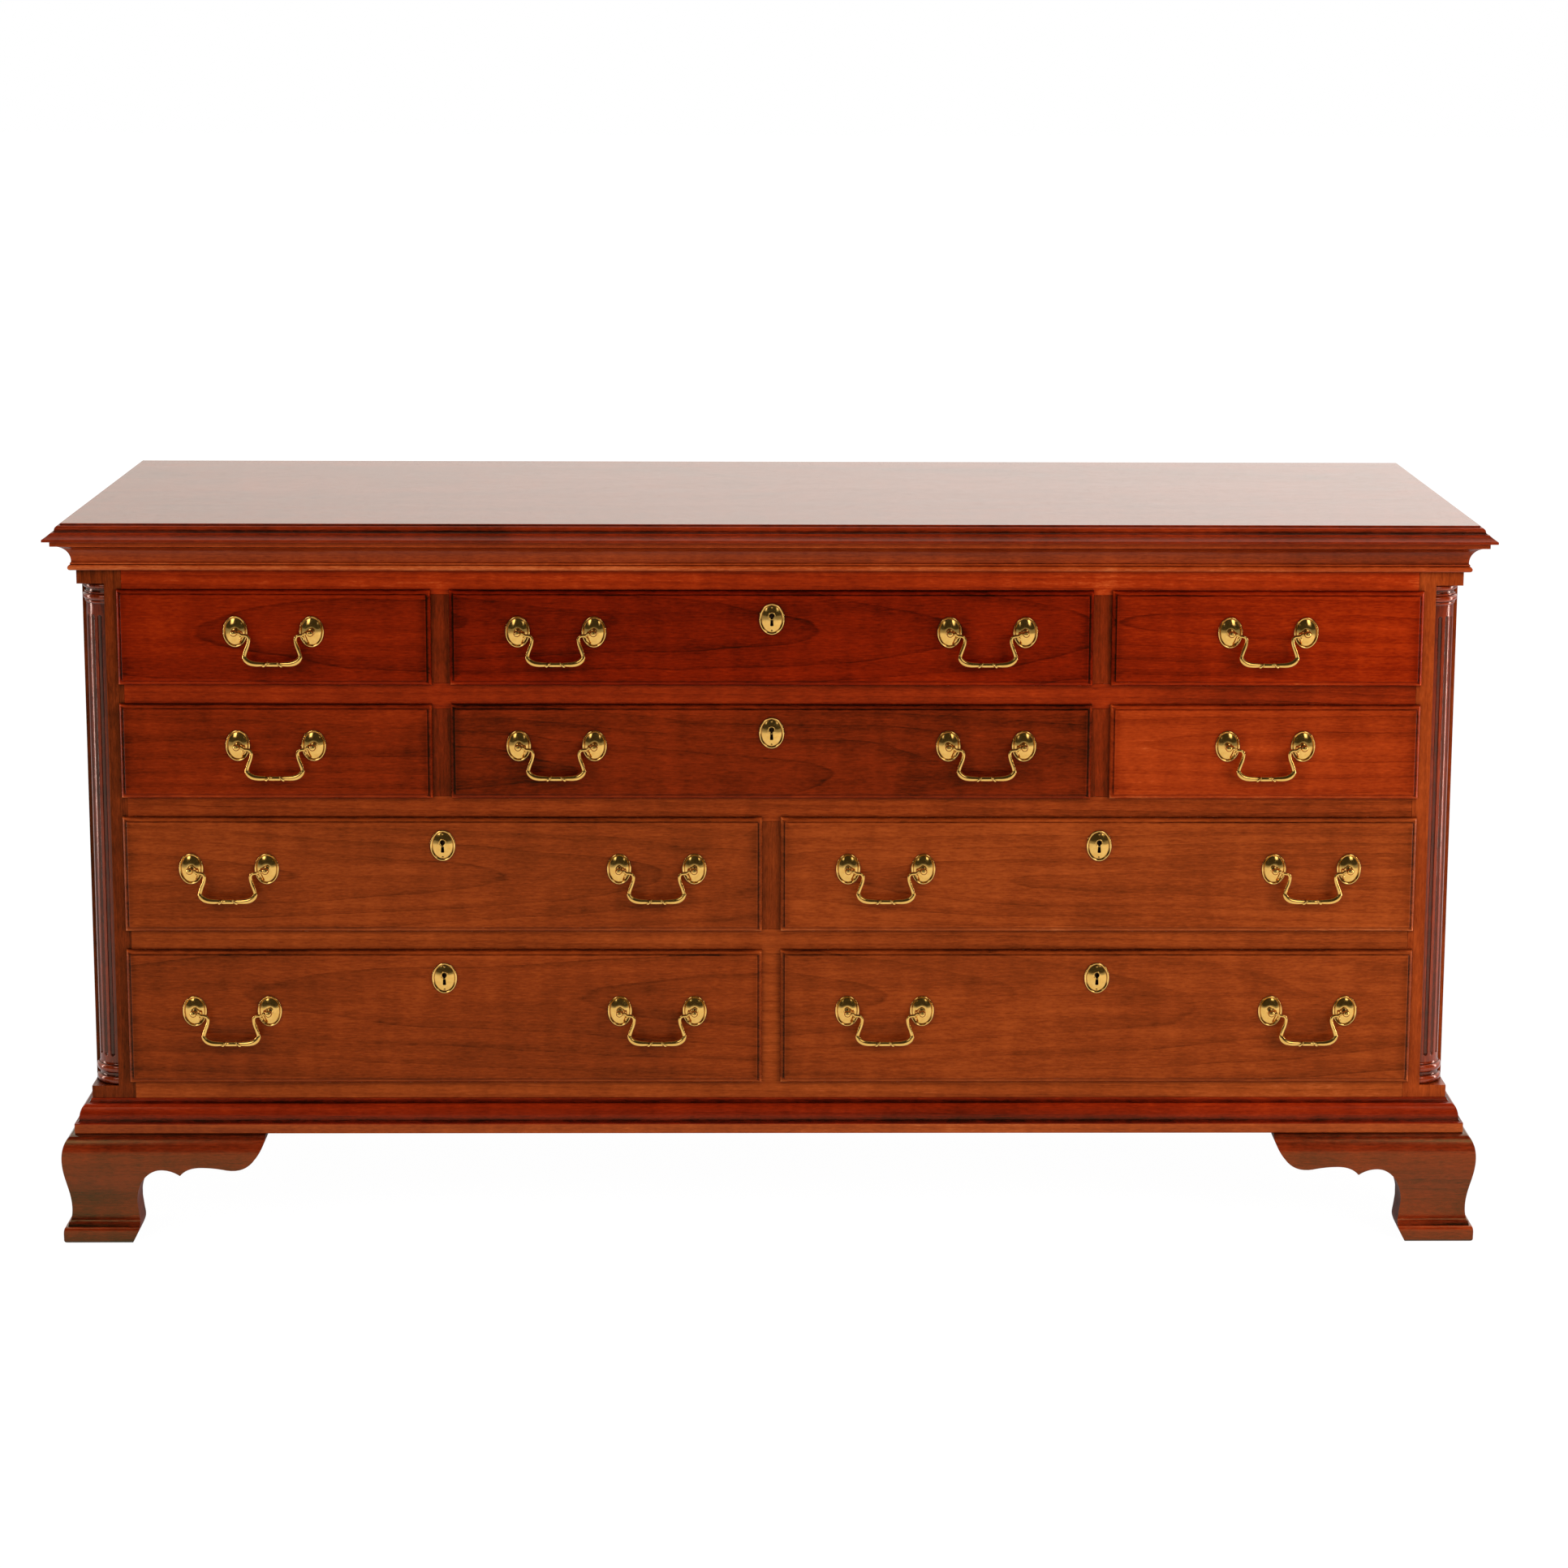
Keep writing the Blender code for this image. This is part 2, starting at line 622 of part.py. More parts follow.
def rear_foot(side, mat):
    """Ogee bracket on the side, plain board across the back."""
    name = "left" if side < 0 else "right"
    profile = foot_profile()
    edge, back = WIDTH / 2, CASE_BACK
    rings = [[(side * (CASE_HALF + u), y, z) for u, z in profile] for y in (back - FOOT_REACH_SIDE, back)]
    foot = finish(f"foot_rear_{name}", loft(bmesh.new(), rings), mat, smooth=True)
    inner = back - FOOT_REAR_BOARD
    boolean(foot, glue_block(side, (inner - FOOT_BLOCK, inner + BURY)), "UNION")
    start = CASE_HALF - FOOT_BACK + BURY
    leg, reach = edge - FOOT_LEG, edge - FOOT_REACH_REAR
    outline = [(start, 0.0), (leg, 0.0), (leg, REAR_BOARD_SPRING), (reach, FOOT_HEIGHT - REAR_BOARD_TIP)]
    outline += [(reach, FOOT_HEIGHT), (start, FOOT_HEIGHT)]
    board = prism(bmesh.new(), [(side * a, z) for a, z in outline], "Y", inner, back)
    boolean(foot, board, "UNION")
    return boolean(foot, side_scroll(side, back, -1), "DIFFERENCE")


# Drawers. Each is modelled about a point on the case's front face, on the middle of its opening's floor.


def tails(height):
    """Middles of the dovetail tails up a drawer side."""
    count = max(2, round(height / TAIL_PITCH))
    pitch = height / count
    return [(k + 0.5) * pitch for k in range(count)], pitch


def tail(mid, pitch, start, tip, grow):
    """Outline of one tail, narrow at its root and wide at its tip."""
    half = pitch * TAIL_SHARE / 2 + grow
    root, wide = half - TAIL_FLARE, half + TAIL_FLARE
    return [(start, mid - root), (tip, mid - wide), (tip, mid + wide), (start, mid + root)]


def side_outline(height):
    """Drawer side seen from its flank, with the tails at its front end."""
    start = PLUG_DEPTH + GAP
    low, high = GAP, GAP + height
    middles, pitch = tails(height)
    points = [(BOX_END, low), (start, low)]
    for mid in middles:
        points += tail(low + mid, pitch, start, PLUG_DEPTH - TAIL_LENGTH, 0.0)
    points += [(start, high), (BOX_END, high)]
    return points


def box_height(opening_height):
    return opening_height - GAP - DRAWER_TOP_CLEAR


def drawer_box(name, width, height, parent, mat):
    """Sides with dovetail tails, back and bottom; the front closes it."""
    half = width / 2 - DRAWER_SIDE_CLEAR
    tall = box_height(height)
    ob = finish(name, prism(bmesh.new(), side_outline(tall), "X", -half, half), mat, parent)
    start = PLUG_DEPTH + GAP
    under = GAP + BOX_BOTTOM_LIFT
    over = under + BOX_BOTTOM
    front, rear, above = PLUG_DEPTH - TAIL_LENGTH - OUT, BOX_END + OUT, GAP + tall + OUT
    void = [
        (front, -OUT), (rear, -OUT), (rear, under), (start, under), (start, over),
        (BOX_END - BOX_BACK, over), (BOX_END - BOX_BACK, above), (front, above),
    ]
    inner = half - BOX_SIDE
    return boolean(ob, prism(bmesh.new(), void, "X", -inner, inner), "DIFFERENCE")


def front_board(width, height):
    """Lipped board: plug in the opening, lip over the frame, thumbnail edge and raised face."""
    half, low, high = width / 2, -LIP_BOTTOM, height + LIP_TOP
    plug_half = half - DRAWER_SIDE_CLEAR
    rise = FACE_PROUD - THUMB_STEP - LIP_EDGE
    sections = [
        (PLUG_DEPTH, plug_half, FRONT_CLEAR, height - FRONT_CLEAR),
        (-GAP, plug_half, FRONT_CLEAR, height - FRONT_CLEAR),
        (-GAP, half + LIP_SIDE, low, high),
    ]
    thumb = [(0.0, LIP_EDGE)] + quarter((0.0, LIP_EDGE), (THUMB_WIDTH, LIP_EDGE + rise), "z", 3)
    thumb.append((THUMB_WIDTH, FACE_PROUD))
    sections += [(-out, half + LIP_SIDE - inset, low + inset, high - inset) for inset, out in thumb]
    rings = [[(-h, y, a), (h, y, a), (h, y, b), (-h, y, b)] for y, h, a, b in sections]
    return loft(bmesh.new(), rings)


def pull_middles(width, wide):
    """Places of the pulls along a drawer: two on a wide one, one in the middle of a small one."""
    reach = width / 2 - PULL_MARGIN
    return [-reach, reach] if wide else [0.0]


def posts(middles):
    """(x, direction towards the bail) of every post on a drawer."""
    return [(mid + side * PULL_SPACING / 2, -side) for mid in middles for side in (-1, 1)]


def pull_height(height):
    return (height + LIP_TOP - LIP_BOTTOM) / 2 + PULL_RISE


def rosette(bm, x, z):
    """Oval plate with a raised rim and a domed middle."""
    rx, rz = ROSETTE
    sections = [
        (rx, rz, -ROSETTE_SINK),
        (rx, rz, ROSETTE_EDGE),
        (rx - ROSETTE_RIM, rz - ROSETTE_RIM, ROSETTE_FLOOR),
        (ROSETTE_CROWN, ROSETTE_CROWN, ROSETTE_DOME),
    ]
    rings = []
    for a, b, out in sections:
        rings.append([(x + px, y, z + pz) for px, y, pz in oval(a, b, -FACE_PROUD - out, OVAL_STEPS)])
    loft(bm, rings)


def ball_post(bm, x, z):
    """Turned post with a ball end that carries the bail."""
    sections = [
        (POST_NECK, ROSETTE_DOME / 2),
        (POST_NECK, PIVOT_OUT - BALL_RADIUS * BALL_THROAT),
        (BALL_RADIUS, PIVOT_OUT - BALL_RADIUS * BALL_BAND),
        (BALL_RADIUS, PIVOT_OUT + BALL_RADIUS * BALL_BAND),
        (BALL_RADIUS * BALL_TIP, PIVOT_OUT + BALL_RADIUS),
    ]
    rings = []
    for r, out in sections:
        rings.append([(x + px, y, z + pz) for px, y, pz in oval(r, r, -FACE_PROUD - out, POST_STEPS)])
    loft(bm, rings)


def pin_socket(bm, x, z, inward):
    """Blind hole in the bail's side of a ball, for the pin."""
    hole = PIN_RADIUS + PIVOT_CLEAR
    y = -FACE_PROUD - PIVOT_OUT
    floor = BALL_RADIUS + GAP - PIN_LENGTH - PIVOT_CLEAR
    rings = []
    for reach in sorted((inward * floor, inward * (BALL_RADIUS + GAP))):
        rings.append([(x + reach, y + a * hole, z + b * hole) for a, _, b in oval(1, 1, 0, SOCKET_SIDES)])
    loft(bm, rings)


def escutcheon(bm, z):
    """Oval keyhole plate with a raised rim."""
    rx, rz = ESCUTCHEON
    sections = [(0.0, -ROSETTE_SINK), (0.0, ROSETTE_EDGE), (ROSETTE_RIM, ROSETTE_FLOOR)]
    rings = []
    for inset, out in sections:
        ring = oval(rx - inset, rz - inset, -FACE_PROUD - out, OVAL_STEPS)
        rings.append([(px, y, z + pz) for px, y, pz in ring])
    loft(bm, rings)


def keyhole(bm, z):
    """Round eye above a slot that widens downwards."""
    eye = z + KEY_RISE
    top, bottom = KEY_SLOT
    start = math.asin(top / KEY_RADIUS)
    points = [(bottom, z - KEY_SLOT_END), (-bottom, z - KEY_SLOT_END)]
    for i in range(KEY_STEPS + 1):
        a = -math.pi / 2 - start - 2 * (math.pi - start) * i / KEY_STEPS
        points.append((KEY_RADIUS * math.cos(a), eye + KEY_RADIUS * math.sin(a)))
    prism(bm, points, "Y", -FACE_PROUD - ROSETTE_DOME, -FACE_PROUD + KEY_DEPTH)


def sockets(bm, width, height):
    """Half-blind sockets in the front for the tails of both sides."""
    half = width / 2 - DRAWER_SIDE_CLEAR
    tall = box_height(height)
    middles, pitch = tails(tall)
    tip = PLUG_DEPTH - TAIL_LENGTH - GAP
    for side in (-1, 1):
        xs = sorted((side * (half - BOX_SIDE - GAP), side * (half + GAP)))
        for mid in middles:
            prism(bm, tail(GAP + mid, pitch, PLUG_DEPTH + GAP, tip, 2 * GAP), "X", *xs)


def drawer_front(name, width, height, middles, keyed, parent, mat, metal):
    ob = finish(name, front_board(width, height), mat, parent)
    brass, balls, cut = bmesh.new(), bmesh.new(), bmesh.new()
    pull_z = pull_height(height)
    for x, inward in posts(middles):
        rosette(brass, x, pull_z)
        ball_post(balls, x, pull_z)
        pin_socket(cut, x, pull_z, inward)
    if keyed:
        key_z = height + LIP_TOP - ESCUTCHEON_DROP
        escutcheon(brass, key_z)
        keyhole(cut, key_z)
    boolean(ob, brass, "UNION", metal)
    boolean(ob, balls, "UNION", metal)
    sockets(cut, width, height)
    return boolean(ob, cut, "DIFFERENCE")


def bail_half():
    """(x, z, radius) of the bail from its collar to the tip of its pin."""
    post, low = PULL_SPACING / 2, -BAIL_DROP
    shoulder = post - BALL_RADIUS - GAP
    leg = (post - BAIL_LEG_INSET, low + BAIL_CORNER[1])
    grip = (leg[0] - BAIL_CORNER[0], low)
    neck = (post - BAIL_NECK_INSET, -BAIL_NECK_DROP)
    points = [
        (COLLAR_AT - COLLAR_WIDTH / 2, low, GRIP_RADIUS),
        (COLLAR_AT + COLLAR_WIDTH / 2, low, COLLAR_RADIUS),
        (*grip, CORNER_RADIUS),
    ]
    points += taper(quarter(grip, leg, "u", 2), CORNER_RADIUS, LEG_RADIUS)
    points += taper(wave(leg, neck, 2), LEG_RADIUS, NECK_WIRE_RADIUS)
    hook = (neck[0] + BAIL_HOOK, 0.0)
    points += taper(quarter(neck, hook, "z", 2), NECK_WIRE_RADIUS, NECK_WIRE_RADIUS)
    points += [(shoulder, 0.0, PIN_RADIUS), (shoulder + PIN_LENGTH, 0.0, PIN_RADIUS)]
    return points


def taper(line, first, last):
    """Adds radii to the points of a line, evenly from after the first radius to the last."""
    share = (last - first) / len(line)
    return [(x, z, first + share * i) for i, (x, z) in enumerate(line, 1)]


def bail_mesh():
    """Tapered wire swept along the swan-neck line in the XZ plane."""
    half = bail_half()
    line = [(-x, z, r) for x, z, r in reversed(half)] + half
    rings = []
    for i, (x, z, r) in enumerate(line):
        before, after = line[max(i - 1, 0)], line[min(i + 1, len(line) - 1)]
        dx, dz = after[0] - before[0], after[1] - before[1]
        length = math.hypot(dx, dz)
        nx, nz = -dz / length, dx / length
        ring = []
        for k in range(WIRE_SIDES):
            a = 2 * math.pi * (k + 0.5) / WIRE_SIDES
            ring.append((x + nx * r * math.cos(a), r * math.sin(a), z + nz * r * math.cos(a)))
        rings.append(ring)
    return loft(bmesh.new(), rings)


def build_drawers(front_mat, box_mat, brass_mat):
    names = {2: ("left", "right"), 3: ("left", "centre", "right")}
    for row, (low, high) in enumerate(opening_rows()):
        columns = opening_columns(row)
        for column, (left, right) in zip(names[len(columns)], columns):
            base = f"row{4 - row}_{column}"
            slide = bpy.data.objects.new(f"slide_{base}", None)
            slide.location = ((left + right) / 2, CASE_FRONT, low)
            bpy.context.collection.objects.link(slide)
            width, height = right - left, high - low
            wide = row < WIDE_ROWS or column == "centre"
            middles = pull_middles(width, wide)
            drawer_front(f"drawer_front_{base}", width, height, middles, wide, slide, front_mat, brass_mat)
            drawer_box(f"drawer_box_{base}", width, height, slide, box_mat)
            for k, x in enumerate(middles):
                tag = "" if len(middles) == 1 else ("_a", "_b")[k]
                pivot = (x, -FACE_PROUD - PIVOT_OUT, pull_height(height))
                finish(f"bail_{base}{tag}", bail_mesh(), brass_mat, slide, pivot, smooth=True)


def build_case(case_mat, top_mat, inner_mat):
    top_board(top_mat)
    finish("cornice_moulding", around_case(cornice_profile()), case_mat)
    finish("base_moulding", around_case(base_profile()), case_mat)
    top_rail(case_mat)
    rows = opening_rows()
    for row, name in ((3, "dust_shelf_upper"), (2, "dust_shelf_middle"), (1, "dust_shelf_lower")):
        shelf(name, rows[row - 1][1], row, case_mat)
    bottom_board(case_mat)
    for row in (1, 2, 3):
        dividers(row, case_mat)
    back_panel(inner_mat)
    for side in (-1, 1):
        side_panel(side, case_mat)
        corner_post(side, case_mat)
        quarter_column(side, case_mat)
        front_foot(side, case_mat)
        rear_foot(side, case_mat)


def main():
    for ob in list(bpy.data.objects):
        bpy.data.objects.remove(ob)
    case_mat = material("case_wood", (0.16, 0.042, 0.014), 0.3)
    top_mat = material("top_wood", (0.15, 0.042, 0.018), 0.22)
    front_mat = material("front_wood", (0.21, 0.045, 0.012), 0.28)
    inner_mat = material("secondary_wood", (0.42, 0.27, 0.14), 0.6)
    brass_mat = material("brass", (0.66, 0.44, 0.14), 0.2, 1.0)
    build_case(case_mat, top_mat, inner_mat)
    build_drawers(front_mat, inner_mat, brass_mat)


main()
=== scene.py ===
"""Looks of a ten-drawer dresser: stained wood under a gloss lacquer, with polished brass pulls.

Metres, +Z up, front towards -Y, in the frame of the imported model.
"""
import random
from math import acos, asin, atan2, copysign, cos, exp, hypot, pi, radians, sin, sqrt

import bmesh
import bpy
from mathutils import Matrix, Vector


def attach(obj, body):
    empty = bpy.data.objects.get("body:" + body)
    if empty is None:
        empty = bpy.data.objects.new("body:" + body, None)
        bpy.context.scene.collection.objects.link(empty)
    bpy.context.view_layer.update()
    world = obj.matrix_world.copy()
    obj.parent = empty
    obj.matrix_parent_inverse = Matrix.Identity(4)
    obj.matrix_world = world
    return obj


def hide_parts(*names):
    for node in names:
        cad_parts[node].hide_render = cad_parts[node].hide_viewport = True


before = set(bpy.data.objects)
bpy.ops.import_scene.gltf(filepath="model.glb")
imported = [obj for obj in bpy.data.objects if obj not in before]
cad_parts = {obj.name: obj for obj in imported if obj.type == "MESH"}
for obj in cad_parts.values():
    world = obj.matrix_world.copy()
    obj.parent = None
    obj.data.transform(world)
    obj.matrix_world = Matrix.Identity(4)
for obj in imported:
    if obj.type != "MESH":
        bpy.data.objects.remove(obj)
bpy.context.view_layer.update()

# Case
WIDTH = 1.6775
DEPTH = 0.533
PROJECTION = 0.03235
CASE_HALF = WIDTH / 2 - PROJECTION
CASE_FRONT = -DEPTH / 2 + PROJECTION
CASE_BACK = DEPTH / 2 - 0.004
GAP = 0.0003
FOOT_HEIGHT = 0.131
BASE_TOP = 0.1695
FRIEZE_TOP = 0.807
CORNICE_TOP = 0.844
TOP_SURFACE = 0.8636

# Mouldings: widths and heights of each shape, outwards and downwards
TOP_ROLL = 0.0182
TOP_FILLET = (0.0002, 0.0019)
TOP_OVOLO = (0.0055, 0.0051)
TOP_COVE = (0.0034, 0.0028)
TOP_SLOPE_BEND = (0.0033, 0.0042)
TOP_NOSE = 0.0029
TOP_FLAT = 0.02
TOP_UNDER = 0.008
CORNICE_FILLET = (0.0247, 0.0062)
COVE_INSET = 0.0006
COVE_DEEP = 0.0046
COVE_HEIGHT = 0.0198
BEAD_OUT = 0.0084
BEAD_RADIUS = 0.0034
BEAD_PAINTED_LIGHT = 0.15
STRING_RADIUS = 0.0013
BASE_FILLET = 0.0012
BASE_STRIP = 0.1425
BASE_CAVETTO = (0.0046, 0.0052)
BASE_OVOLO = (0.0079, 0.0173)
BASE_COVE = (0.0048, 0.0035)
MOULDING_ARRIS = 0.0005
CORNICE_ARRIS = 0.0004

# Ogee feet
FOOT_BACK = 0.010
FOOT_REACH_FRONT = 0.240
FOOT_REACH_SIDE = 0.200
FOOT_REACH_REAR = 0.130
FOOT_LEG = 0.088
FOOT_SHOULDER = (0.0126, 0.027)
FOOT_ANKLE = 0.0091
FOOT_ANKLE_Z = 0.040
FOOT_THROAT = (0.0034, 0.005)
FOOT_PAD_Z = 0.0195
FOOT_PAD_LEDGE = 0.0012
FOOT_PAD_ROUND = (0.0022, 0.0078)
FOOT_TOE = (0.004, 0.0049)
FOOT_BLOCK = 0.030
FOOT_BLOCK_LIFT = 0.006
FOOT_REAR_BOARD = 0.019
REAR_BOARD_SPRING = 0.079
REAR_BOARD_TIP = 0.012
LEG_LINE = (
    (0.0810, 0.0), (0.0838, 0.0050), (0.0885, 0.0150),
    (0.0900, 0.0225), (0.0885, 0.0330), (0.0865, 0.0480),
)
SCROLL_CROWN = (0.19, 0.69)
SCROLL_BENDS = (
    ((0.27, 0.690), (0.335, 0.632)),
    ((0.39, 0.713), (0.500, 0.713)),
    ((0.60, 0.713), (0.700, 0.687)),
    ((0.84, 0.660), (0.920, 0.790)),
    ((0.97, 0.860), (1.000, 0.960)),
)
OVERLAP = 0.002
PAST = 0.01
FOOT_ARRIS = 0.0007
SAWN_FACING = (0.2, 0.3)
UNDER_SHADE = (0.016, 0.6)
LEG_SHADE = (0.025, 0.2)
THROAT_SHADE = 0.5

# Quarter columns
NOTCH = 0.0316
COLUMN_LOW = BASE_TOP + 0.0148
COLUMN_HIGH = FRIEZE_TOP - 0.0166
SHAFT_RADIUS = 0.0268
RING_RADIUS = 0.0304
NECK_RADIUS = 0.0272
SHAFT_STEP = 0.0006
SHAFT_LEDGE = 0.0008
TORUS_HEIGHT = 0.0096
FILLET_HEIGHT = 0.0042
CAPITAL_RINGS = ((0.0034, 0.0282), (0.0077, 0.0304), (0.0023, 0.0284))
CAPITAL_WAIST = (0.0036, 0.0266)
CAPITAL_TORUS = 0.0070
FLUTES = 4
FLUTE_PITCH = radians(20)
FLUTE_RADIUS = 0.0029
FLUTE_DEPTH = 0.0021
FLUTE_LOW = COLUMN_LOW + 0.034
FLUTE_HIGH = COLUMN_HIGH - 0.038
# Painted shade: darker down in the flutes, and darker in the hollows between rings with lighter ring edges
FLUTE_PAINTED_SHADE = 0.5
RING_TONES = 0.35

# Drawers
ROWS = ((0.6730, 0.7785), (0.5375, 0.6430), (0.3765, 0.5075), (0.1910, 0.3465))
THIRDS = {"left": (-0.755, -0.402), "centre": (-0.3695, 0.3695), "right": (0.402, 0.755)}
HALVES = {"left": (-0.755, -0.01625), "right": (0.01625, 0.755)}
SIDE_CLEAR = 0.0015
FACE_PROUD = 0.008
LIP_SIDE = 0.0055
LIP_TOP = 0.006
LIP_BOTTOM = 0.0015
LIP_EDGE = 0.0026
THUMB_WIDTH = 0.0050
THUMB_STEP = 0.0009
LIP_ARRIS = 0.0013
LIP_BACK = 0.0003
LIP_ROUND = 0.0012
FACE_MARKS = (0.001, 0.003, 0.006, 0.012)
# Tones across the lip, back edge to face, at the sides, along the top and along the bottom: dark glaze with
# painted shade in the quirk, the top band darker as painted shade, light lines as painted highlights, and
# along the bottom as a painted reflection of the floor
LIP_TONES = (
    0.3, 0.1, -0.1, -0.15, -0.1, 0.0, 0.0, 0.1, 0.3, 0.5, 0.8,
    1.0, 0.9, 0.5, 0.2, 0.1, 0.15, 0.25, 0.2, 0.1, 0.0,
)
LIP_TOP_TONES = (
    0.4, 0.6, 0.7, 0.7, 0.6, 0.5, 0.35, 0.2, 0.1, 0.05, 0.15,
    0.5, 0.6, 0.6, 0.5, 0.3, 0.1, -0.12, -0.03, 0.0, 0.0,
)
LIP_LOW_TONES = (
    0.3, 0.3, 0.1, 0.0, -0.1, -0.2, -0.25, -0.3, -0.3, -0.25, -0.1,
    0.2, 0.35, 0.3, 0.2, 0.1, 0.05, 0.0, 0.0, 0.0, 0.0,
)
CORNER_RUB = 0.6
CORNER_EDGE = (0.0022, 0.002)
CORNER_MARKS = ((0.003, 0.7), (0.009, 0.15), (0.02, 0.0))
PLUG_DEPTH = 0.013
FRONT_CLEAR = 0.001
BOX_SIDE = 0.012
BOX_TOP_CLEAR = 0.0043
TAIL_LENGTH = 0.009
TAIL_PITCH = 0.034
TAIL_FLARE = 0.0018

# Pulls and keyhole plates
PULL_SPACING = 0.0885
PULL_MARGIN = 0.1184
PULL_RISE = 0.008
PIVOT_OUT = 0.0125
ROSETTE = (0.0145, 0.01875)
ROSETTE_CROWN = 0.0042
PLATE_STEPS = 48
PLATE_SINK = 0.0006
BALL_RADIUS = 0.0041
POST_NECK = 0.0024
BALL_SPAN = (-52, 142)
SOCKET_RADIUS = 0.00155
SOCKET_ENDS = (BALL_RADIUS - 0.0024, BALL_RADIUS + 0.001)
ESCUTCHEON = (0.0150, 0.01885)
PLATE_DOME = 0.0034
ESCUTCHEON_CROWN = 0.002
ESCUTCHEON_STEPS = 56
ESCUTCHEON_CUT = (-0.006, 0.004)
ESCUTCHEON_DROP = 0.033
KEY_RADIUS = 0.0029
KEY_RISE = 0.0038
KEY_SLOT = (0.0014, 0.0020)
KEY_SLOT_END = 0.0082
KEY_SLOT_ROUND = 0.0008
KEY_SLOT_FLAT = 0.6
KEY_STEPS = 24
KEY_DEPTH = 0.008
KEY_PAST = 0.003
NAIL_RISE = 0.0139
LOOP_RADIUS = 0.0041
LOOP_WIRE = 0.0005
LOOP_SPAN = (-62, -296)

SIDES = {-1: "left", 1: "right"}
LEVEL = 0.99
UPRIGHT = 0.5
SMOOTH_ANGLE = radians(32)
# Most a tone may lighten an edge: rubbed wear and painted highlight
RUB_AND_HIGHLIGHT_LIMIT = 0.16
SHARP_TURN = radians(38)
ARRIS_SHARE = 0.45
TONE_STEPS = (0.0008, 0.002, 0.0045)


# Curves


def quarter(start, end, first, steps):
    """Quarter ellipse from start to end that leaves along the first ('u') or second ('z') axis."""
    du, dz = end[0] - start[0], end[1] - start[1]
    points = []
    for i in range(1, steps + 1):
        t = radians(90) * i / steps
        rise, turn = sin(t), 1 - cos(t)
        a, b = (rise, turn) if first == "u" else (turn, rise)
        points.append((start[0] + du * a, start[1] + dz * b))
    return points


def half_round(points, reach, height, steps=6):
    """Adds a half-round bead or hollow that starts at the last point of a profile."""
    start, z = points[-1]
    mid = z + height / 2
    points += quarter((start, z), (reach, mid), "u", steps)
    points += quarter((reach, mid), (start, z + height), "z", steps)


def stepped(points, *shapes):
    """Adds rounds and hollows outwards and downwards; each has its size and first axis."""
    for (width, height), first in shapes:
        u, z = points[-1]
        points += quarter((u, z), (u + width, z - height), first, 10)


def wave(start, end, steps):
    """Half a cosine from start to end, upright at both ends."""
    points = []
    for i in range(1, steps + 1):
        share = (1 - cos(pi * i / steps)) / 2
        points.append((start[0] + (end[0] - start[0]) * share, start[1] + (end[1] - start[1]) * i / steps))
    return points


def bend(start, control, end, steps):
    """Quadratic curve from start to end drawn towards the control point."""
    points = []
    for i in range(1, steps + 1):
        t = i / steps
        points.append(tuple(
            (1 - t) ** 2 * s + 2 * t * (1 - t) * c + t * t * e for s, c, e in zip(start, control, end)))
    return points


def between(p, q, r, s, t):
    """Value a share t of the way from q to r, with p before and s after them."""
    square = 2 * p - 5 * q + 4 * r - s
    cube = 3 * q - p - 3 * r + s
    return 0.5 * (2 * q + (r - p) * t + square * t * t + cube * t ** 3)


def spline(knots, per_span):
    """Smooth line through the knots; every value of a knot is interpolated."""
    line = [tuple(knots[0])]
    for i in range(len(knots) - 1):
        near = knots[max(i - 1, 0)], knots[i], knots[i + 1], knots[min(i + 2, len(knots) - 1)]
        for k in range(1, per_span + 1):
            line.append(tuple(between(*values, k / per_span) for values in zip(*near)))
    return line


def turning(a, b, c):
    """Angle by which a line through three points turns at the middle one."""
    d1, d2 = (b[0] - a[0], b[1] - a[1]), (c[0] - b[0], c[1] - b[1])
    return atan2(d1[0] * d2[1] - d1[1] * d2[0], d1[0] * d2[0] + d1[1] * d2[1])


def softened(points, size):
    """Rounds the sharp corners of a line to a small arris."""
    result = [points[0]]
    for before, p, after in zip(points, points[1:], points[2:]):
        l1, l2 = hypot(p[0] - before[0], p[1] - before[1]), hypot(after[0] - p[0], after[1] - p[1])
        if l1 < 1e-9 or l2 < 1e-9:
            continue
        if abs(turning(before, p, after)) < SHARP_TURN:
            result.append(p)
            continue
        cut = min(size, l1 * ARRIS_SHARE, l2 * ARRIS_SHARE)
        a = tuple(v - (v - w) / l1 * cut for v, w in zip(p, before))
        b = tuple(v + (w - v) / l2 * cut for v, w in zip(p, after))
        result += [a] + bend(a, p, b, 3)
    return result + [points[-1]]


def toned(points, reach=0.0017, strength=0.8):
    """Adds a tone to each point of a profile: dark glaze with painted shade in hollows (+), rubbed wear
    with painted highlight on edges (-).
    """
    dense = [points[0]]
    for a, b in zip(points, points[1:]):
        length = hypot(b[0] - a[0], b[1] - a[1])
        shares = []
        for d in TONE_STEPS:
            if length > 2.2 * d:
                shares += [d / length, 1 - d / length]
        for s in sorted(shares):
            dense.append((a[0] + (b[0] - a[0]) * s, a[1] + (b[1] - a[1]) * s))
        dense.append(b)
    turns = [0.0] + [turning(*near) for near in zip(dense, dense[1:], dense[2:])] + [0.0]
    result = []
    for x, y in dense:
        total = sum(t * exp(-hypot(x - a, y - b) / reach) for t, (a, b) in zip(turns, dense) if t)
        result.append((x, y, max(-RUB_AND_HIGHLIGHT_LIMIT, min(1.0, total * strength))))
    return result


# Meshes. A point has x, y, z and, where it has a fourth value, a tone.


def put(bm, points):
    layer = bm.verts.layers.float.get("tone") or bm.verts.layers.float.new("tone")
    verts = []
    for p in points:
        vert = bm.verts.new(p[:3])
        vert[layer] = p[3] if len(p) > 3 else 0.0
        verts.append(vert)
    return verts


